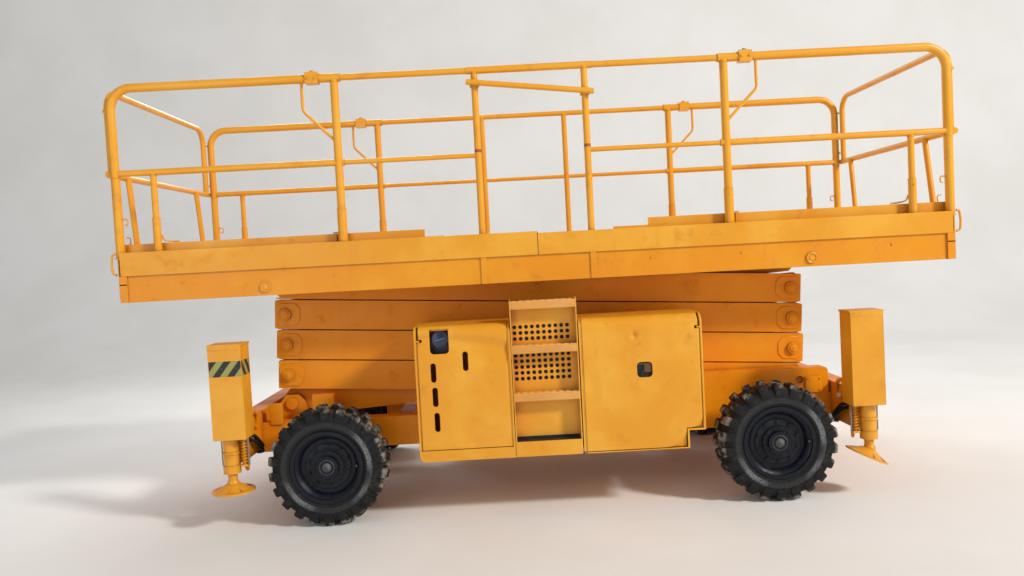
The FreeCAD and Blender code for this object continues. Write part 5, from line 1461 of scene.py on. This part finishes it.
@dataclass
class Chassis(Assembly):
    """Main frame with its bolts, hoses and fittings.

    Attributes:
        palette: the materials.
        nodes: the CAD nodes.
        face: distance of a main rail's outer face from the centre plane.
    """

    palette: Palette
    nodes: Dict[str, bpy.types.Object]
    face: float = 0.650

    def build(self) -> None:
        """Dress and detail the frame."""
        self.dress("chassis_frame", SHADED_STACK_YELLOW, 0.003)
        for side, way in (("left", LEFT), ("right", RIGHT)):
            self.rail(side, way)
        self.beam_fittings()

    def rail(self, side: str, way: int) -> None:
        """Cover bolts, edge bead and pin keeper along one main rail.

        Args:
            side: side of the machine.
            way: its sign.
        """
        piece = Piece("rail_detail_" + side, [SHADED_STACK_YELLOW, STEEL, HOSE])
        for x in (1.862, 1.947):
            for z in (0.639, 0.723):
                piece.bolt((x, way * 0.6645, z), Axis.Y, way, 0.007)
        piece.ring((1.810, way * self.face, 0.716), Axis.Y, 0.030, 0.0035, 0, 36, 0.15)
        piece.box((-1.470, way * self.face, 0.520), (-1.430, way * (self.face + 0.012), 0.560), 0.003)
        piece.box((1.846, way * 0.650, 0.623), (1.963, way * 0.6645, 0.739), 0.0055)
        piece.box((-1.925, way * 0.648, 0.600), (-1.838, way * 0.662, 0.752), 0.004)
        piece.box((-1.905, way * 0.600, 0.610), (-1.858, way * 0.650, 0.740), 0.004)
        piece.done("chassis", self.palette)

    def beam_fittings(self) -> None:
        """Ring bracket, white fitting and hoses at the outrigger beams' ends."""
        for end, way_x, beam in (("front", -1, -2.0565), ("rear", 1, 2.0885)):
            for side, way in (("left", LEFT), ("right", RIGHT)):
                piece = Piece("beam_detail_%s_%s" % (end, side), [SHADED_STACK_YELLOW, WHITE, HOSE, STEEL])
                inner = beam - way_x * 0.060
                y = way * 0.800
                piece.tube([(inner, way * 0.760, 0.640), (inner - way_x * 0.010, way * 0.775, 0.700),
                            (inner - way_x * 0.012, way * 0.850, 0.745), (inner - way_x * 0.010, way * 0.925, 0.720),
                            (inner, way * 0.940, 0.655)], 0.0130, 0, 12, 0.05)
                piece.rod((inner, y + way * 0.050, 0.632), (inner - way_x * 0.020, y + way * 0.050, 0.632), 0.024, 0, 24)
                piece.rod((inner - way_x * 0.018, y + way * 0.050, 0.632),
                          (inner - way_x * 0.034, y + way * 0.050, 0.632), 0.017, 1 if way_x > 0 else 0, 20)
                for index in range(2):
                    drop = index * 0.032
                    piece.tube([(inner + way_x * 0.012, way * 0.936, 0.598 - drop),
                                (inner - way_x * 0.036, way * 0.934, 0.590 - drop),
                                (inner - way_x * 0.042, way * 0.850, 0.535 - drop),
                                (inner - way_x * 0.040, way * 0.760, 0.475 - drop),
                                (inner + way_x * 0.012, way * 0.720, 0.462 - drop)], 0.0125, 2, 12, 0.06)
                for z in (0.480, 0.660):
                    piece.bolt((beam + way_x * 0.060, way * 0.880, z), Axis.X, way_x, 0.012, 0)
                piece.done("chassis", self.palette)


@dataclass
class Platform(Assembly):
    """Platform frame, deck and fixed rails.

    Attributes:
        palette: the materials.
        nodes: the CAD nodes.
        web: distance of the side beams' web from the centre plane.
        half_length: half length of the platform, not used.
    """

    palette: Palette
    nodes: Dict[str, bpy.types.Object]
    web: float = 0.963
    half_length: float = 2.755

    def build(self) -> None:
        """Dress and detail the platform."""
        self.dress("platform_frame", SHADED_WEB_YELLOW, 0.0025)
        self.dress("platform_deck", YELLOW, 0.0025)
        self.dress("fixed_rails", WORN_YELLOW, 0.001)
        for side, way in (("left", LEFT), ("right", RIGHT)):
            self.beam(side, way)
            self.rail_welds(side, way)
        self.floor()

    def beam(self, side: str, way: int) -> None:
        """Boss rings, bolt heads and weld beads of one side beam.

        Args:
            side: side of the machine.
            way: its sign.
        """
        piece = Piece("beam_detail_" + side, [YELLOW, STEEL])
        for x in (-1.810, 1.810):
            piece.ring((x, way * 0.9705, 1.580), Axis.Y, 0.0320, 0.0055, 0, 40)
            piece.rod((x, way * 0.9695, 1.580), (x, way * 0.9735, 1.580), 0.017, 0, 24)
        for x in (-2.35, -1.35, -0.75, 0.75, 1.35, 2.35):
            piece.bolt((x, way * self.web, 1.640), Axis.Y, way, 0.0075)
        for x in (-0.363, 0.363):
            for edge in (-0.0195, 0.0195):
                piece.tube([(x + edge, way * self.web, 1.526), (x + edge, way * self.web, 1.692)], 0.0028, 0, 6)
        for end in (-1, 1):
            x = end * 2.716
            piece.box((x, way * 0.9740, 1.636), (end * 2.764, way * 0.9750, 1.644), 0.0003)
            for z in (1.560, 1.668):
                piece.bolt((end * 2.742, way * 0.9690, z), Axis.Y, way, 0.0055, washer=False)
        piece.tube([(-2.75, way * 0.9615, 1.6965), (2.75, way * 0.9615, 1.6965)], 0.0026, 0, 6)
        piece.done("platform", self.palette)

    def rail_welds(self, side: str, way: int) -> None:
        """Weld beads, red pads and foot plates of the fixed posts.

        Args:
            side: side of the machine.
            way: its sign.
        """
        piece = Piece("fixed_rail_detail_" + side, [WORN_YELLOW, RED, STEEL])
        y = way * 0.925
        for x in (-0.363, 0.363):
            piece.ring((x, y, 2.911), Axis.Z, 0.0235, 0.0028, 0, 32, 0.2)
            piece.box((x - 0.045, y - 0.030, 1.800), (x + 0.045, y + 0.030, 1.806), 0.002)
            for shift in (-0.034, 0.034):
                piece.bolt((x + shift, y, 1.806), Axis.Z, 1, 0.007)
            piece.ring((x, y, 1.809), Axis.Z, 0.0240, 0.0030, 0, 32, 0.2)
            if way == LEFT:
                piece.rod((x, y, 2.392), (x, y, 2.412), 0.0229, 1, 24, 0.0004)
        piece.done("platform", self.palette)

    def floor(self) -> None:
        """Raised-pattern sheet on the middle of the floor, the skirts' dark middle seam and a painted shadow line under
        the skirts.
        """
        piece = Piece("floor_sheet", [DECK])
        piece.tread_plate((-0.745, -0.955, 1.7995), (0.745, 0.955, 1.8005))
        piece.done("platform", self.palette)
        # Dark joint at the middle of each skirt, and a painted shadow line along the web under the skirt.
        seam_and_shadow = Piece("skirt_seam_and_shadow", [BLACK_AND_SHADE])
        for way in (LEFT, RIGHT):
            seam_and_shadow.box((-0.0020, way * 0.9740, 1.698), (0.0020, way * 0.9754, 1.846), 0.0)
            # Painted shadow line along the web under the skirt.
            seam_and_shadow.box((-2.74, way * 0.9625, 1.6955), (2.70, way * 0.9640, 1.6985), 0.0)
        seam_and_shadow.done("platform", self.palette)


@dataclass
class Extension(Assembly):
    """One sliding extension: deck, side frames and end frame.

    Attributes:
        palette: the materials.
        nodes: the CAD nodes.
        end: name of the end.
        out: sign towards that end.
    """

    palette: Palette
    nodes: Dict[str, bpy.types.Object]
    end: str
    out: int

    TOP = 2.932
    MID = 2.374
    FOOT = 1.814

    def build(self) -> None:
        """Dress and detail the extension."""
        self.dress("extension_deck_" + self.end, YELLOW, 0.0015)
        sheet = Piece("extension_sheet_" + self.end, [DECK])
        span = sorted((self.out * 0.752, self.out * 2.768))
        sheet.tread_plate((span[0], -0.874, 1.8140), (span[1], 0.874, 1.8150))
        sheet.done("extension_" + self.end, self.palette)
        self.dress("extension_rails_" + self.end, WORN_YELLOW, 0.001)
        piece = Piece("extension_detail_" + self.end, [WORN_YELLOW, STEEL, RED, YELLOW])
        for way in (LEFT, RIGHT):
            self.side(piece, way)
        self.end_frame(piece)
        piece.done("extension_" + self.end, self.palette)

    def side(self, piece: Piece, way: int) -> None:
        """Weld beads, collars, clamp bolts and pins of one side frame.

        Args:
            piece: the details.
            way: side of the machine.
        """
        y = way * 0.925
        for x, radius, top in ((1.287, 0.0272, 2.903), (2.515, 0.0212, 2.352), (2.765, 0.0292, 2.345)):
            place = self.out * x
            piece.ring((place, y, top), Axis.Z, radius + 0.0005, 0.0030, 0, 36, 0.2)
            piece.ring((place, y, self.FOOT + 0.002), Axis.Z, radius + 0.004, 0.0035, 0, 36, 0.2)
        for x, radius in ((1.287, 0.0315), (2.515, 0.0265)):
            piece.ring((self.out * x, y, self.FOOT + 0.2545), Axis.Z, radius - 0.001, 0.0025, 0, 36)
            piece.rod((self.out * x, y - 0.034, self.FOOT + 0.215), (self.out * x, y + 0.034, self.FOOT + 0.215),
                      0.0060, 0, 16)
        clamp = self.out * 1.429
        grip = 1 if self.out > 0 and way == LEFT else 0
        for shift in (-0.026, 0.026):
            piece.bolt((clamp + shift, y + way * 0.036, self.TOP), Axis.Y, way, 0.0085)
        piece.box((clamp - 0.043, y - 0.0345, self.TOP + 0.0345), (clamp + 0.043, y + 0.0345, self.TOP + 0.0385),
                  0.0015, grip)
        piece.rod((clamp, y, self.TOP + 0.044), (clamp, y, self.TOP + 0.0515), 0.0145, grip, 20, 0.003)
        short = self.out * 2.515
        piece.tube([(short - self.out * 0.024, y - way * 0.010, self.FOOT + 0.150),
                    (short - self.out * 0.034, y - way * 0.020, self.FOOT + 0.110),
                    (short - self.out * 0.075, y - way * 0.060, self.FOOT + 0.102),
                    (short - self.out * 0.120, y - way * 0.060, self.FOOT + 0.100)], 0.0055, 0, 10, 0.03)
        hook = self.out * 2.735
        piece.tube([(hook, y, self.FOOT + 0.260), (hook - self.out * 0.030, y, self.FOOT + 0.262),
                    (hook - self.out * 0.032, y, self.FOOT + 0.225), (hook - self.out * 0.012, y, self.FOOT + 0.220)],
                   0.0050, 0, 8, 0.012)
        handle = self.out * 1.340
        piece.tube([(handle, y - way * 0.030, self.FOOT + 0.10), (handle, y - way * 0.030, self.FOOT + 0.010)],
                   0.0050, 0, 10)
        piece.tube([(handle - 0.020, y - way * 0.030, self.FOOT + 0.10), (handle + 0.020, y - way * 0.030, self.FOOT + 0.10)],
                   0.0050, 0, 10)

    def end_frame(self, piece: Piece) -> None:
        """Weld beads, chain hooks and loop of the end frame.

        Args:
            piece: the details.
        """
        x = self.out * 2.813
        for y, foot in ((-0.570, -0.660), (0.680, 0.610)):
            base = self.out * 2.791
            piece.box((base - 0.030, foot - 0.034, self.FOOT + 0.002), (base + 0.022, foot + 0.034, self.FOOT + 0.052),
                      0.003, 3)
            piece.rod((base - self.out * 0.040, foot, self.FOOT + 0.085), (base, foot, self.FOOT + 0.085), 0.006, 1, 14)
            piece.rod((base - self.out * 0.040, foot - 0.030, self.FOOT + 0.085),
                      (base - self.out * 0.040, foot + 0.030, self.FOOT + 0.085), 0.005, 0, 12)
        piece.rod((x, -0.892, 2.792), (x, -0.910, 2.792), 0.016, 0, 20, 0.003)
        piece.tube([(self.out * 2.792, -0.948, 1.846), (self.out * 2.812, -0.948, 1.842),
                    (self.out * 2.820, -0.948, 1.780), (self.out * 2.815, -0.948, 1.715),
                    (self.out * 2.790, -0.948, 1.706)], 0.0075, 0, 12, 0.03)
        for y in (-0.870, 0.870):
            piece.ring((x, y, self.MID), Axis.Z, 0.0225, 0.0030, 0, 32, 0.2)
            for z in (2.45, 2.80):
                piece.ring((x - self.out * 0.022, y + math.copysign(0.026, y), z), Axis.X, 0.006, 0.0035, 0, 16, 0.2)
        piece.tube([(x - self.out * 0.020, -0.760, 1.960), (x - self.out * 0.045, -0.760, 1.955),
                    (x - self.out * 0.045, -0.760, 1.915), (x - self.out * 0.030, -0.760, 1.909)], 0.0045, 0, 8, 0.02)


@dataclass
class Gate(Assembly):
    """Sliding bar of the way in.

    Attributes:
        palette: the materials.
        nodes: the CAD nodes.
    """

    palette: Palette
    nodes: Dict[str, bpy.types.Object]

    def build(self) -> None:
        """Dress the bar and add its end caps."""
        self.dress("gate_bar", WORN_YELLOW, 0.001)
        piece = Piece("gate_detail", [WORN_YELLOW, RED])
        for x, z in ((-0.363, 2.845), (0.363, 2.757)):
            for edge in (-0.0215, 0.0215):
                piece.ring((x, -0.925, z + edge), Axis.Z, 0.0300, 0.0022, 0, 36)
        piece.done("gate", self.palette)


@dataclass
class Studio:
    """Floor, backdrop, lights and camera.

    Attributes:
        palette: the materials, not used.
        lens: focal length for a 36 mm sensor.
        eye: place of the camera.
        yaw: turn of the view from +Y, in radians.
        pitch: rise of the view.
        roll: turn about the view.
    """

    palette: Palette
    lens: float = 28.909
    eye: Point = (-0.2228, -6.4071, 1.7036)
    yaw: float = 0.0067
    pitch: float = -0.0402
    roll: float = -0.0531

    def build(self) -> None:
        """Make the stage."""
        self.floor()
        self.world()
        self.lights()
        self.camera()

    def floor(self) -> None:
        """Floor that curves up into a backdrop."""
        mesh = bmesh.new()
        line = [(-90.0, 0.0), (7.0, 0.0)]
        for step in range(1, 13):
            turn = math.radians(90.0 * step / 12)
            line.append((7.0 + 4.0 * math.sin(turn), 4.0 - 4.0 * math.cos(turn)))
        line.append((11.0, 70.0))
        rows = [[mesh.verts.new((x, y, z)) for x in (-120.0, 120.0)] for y, z in line]
        for here, ahead in zip(rows, rows[1:]):
            mesh.faces.new((here[0], here[1], ahead[1], ahead[0]))
        for face in mesh.faces:
            face.smooth = True
        data = bpy.data.meshes.new("studio_floor")
        mesh.to_mesh(data)
        mesh.free()
        shader = Shader("Studio_floor")
        clouds = shader.noise(0.7, 4.0)
        shader.set("Base Color", shader.mix(shader.span(clouds, 0.3, 0.7), (0.88, 0.88, 0.87), (0.93, 0.93, 0.93)))
        shader.set("Roughness", shader.span(clouds, 0.3, 0.7, 0.7, 0.85))
        data.materials.append(shader.material)
        floor = bpy.data.objects.new("studio_floor", data)
        bpy.context.scene.collection.objects.link(floor)

    def world(self) -> None:
        """Even sky that the camera sees as near white."""
        world = bpy.data.worlds.new("studio_world")
        bpy.context.scene.world = world
        world.use_nodes = True
        tree = world.node_tree
        back = tree.nodes["Background"]
        back.inputs["Color"].default_value = (0.97, 0.98, 1.0, 1.0)
        back.inputs["Strength"].default_value = 0.36

    def lights(self) -> None:
        """Soft key from the upper right, weak fill from the left."""
        for name, place, target, size, power, colour in (
                ("key", (14.5, -11.0, 12.0), (0.0, -0.5, 1.0), 2.6, 3000.0, (1.0, 0.95, 0.87)),
                ("fill", (-5.0, -8.5, 2.6), (0.0, 0.0, 1.2), 5.0, 110.0, (1.0, 0.98, 0.95)),
                ("rim", (-2.0, 5.5, 6.5), (0.0, 0.0, 1.8), 4.0, 260.0, (1.0, 0.98, 0.95))):
            data = bpy.data.lights.new(name, "AREA")
            data.shape = "SQUARE"
            data.size = size
            data.energy = power
            data.color = colour
            light = bpy.data.objects.new(name, data)
            light.location = place
            run = Vector(target) - Vector(place)
            light.rotation_euler = run.to_track_quat("-Z", "Y").to_euler()
            bpy.context.scene.collection.objects.link(light)

    def camera(self) -> None:
        """Camera at the photo's place."""
        ahead = Vector((math.sin(self.yaw) * math.cos(self.pitch), math.cos(self.yaw) * math.cos(self.pitch),
                        math.sin(self.pitch)))
        right = Vector((math.cos(self.yaw), -math.sin(self.yaw), 0.0))
        up = right.cross(ahead)
        side = right * math.cos(self.roll) + up * math.sin(self.roll)
        top = -right * math.sin(self.roll) + up * math.cos(self.roll)
        data = bpy.data.cameras.new("camera")
        data.lens = self.lens
        data.sensor_width = 36.0
        data.clip_end = 200.0
        camera = bpy.data.objects.new("camera", data)
        matrix = Matrix((side, top, -ahead)).transposed().to_4x4()
        matrix.translation = Vector(self.eye)
        camera.matrix_world = matrix
        bpy.context.scene.collection.objects.link(camera)
        bpy.context.scene.camera = camera
        bpy.context.scene.view_settings.view_transform = "Standard"


def main() -> None:
    """Dress the whole machine and set the stage."""
    logging.basicConfig(level=logging.INFO, format="%(name)s %(message)s")
    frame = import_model()
    palette = Palette()
    nodes = frame["nodes"]
    assemblies = [WheelSet(palette, nodes), RunningGear(palette, nodes), Cabinets(palette, nodes),
                  Stabilisers(palette, nodes), ScissorStack(palette, nodes), Chassis(palette, nodes),
                  Platform(palette, nodes), Extension(palette, nodes, "front", -1),
                  Extension(palette, nodes, "rear", 1), Gate(palette, nodes)]
    for assembly in assemblies:
        assembly.build()
        LOG.info("built %s", type(assembly).__name__)
    Studio(palette).build()


if __name__ == "__main__":
    main()
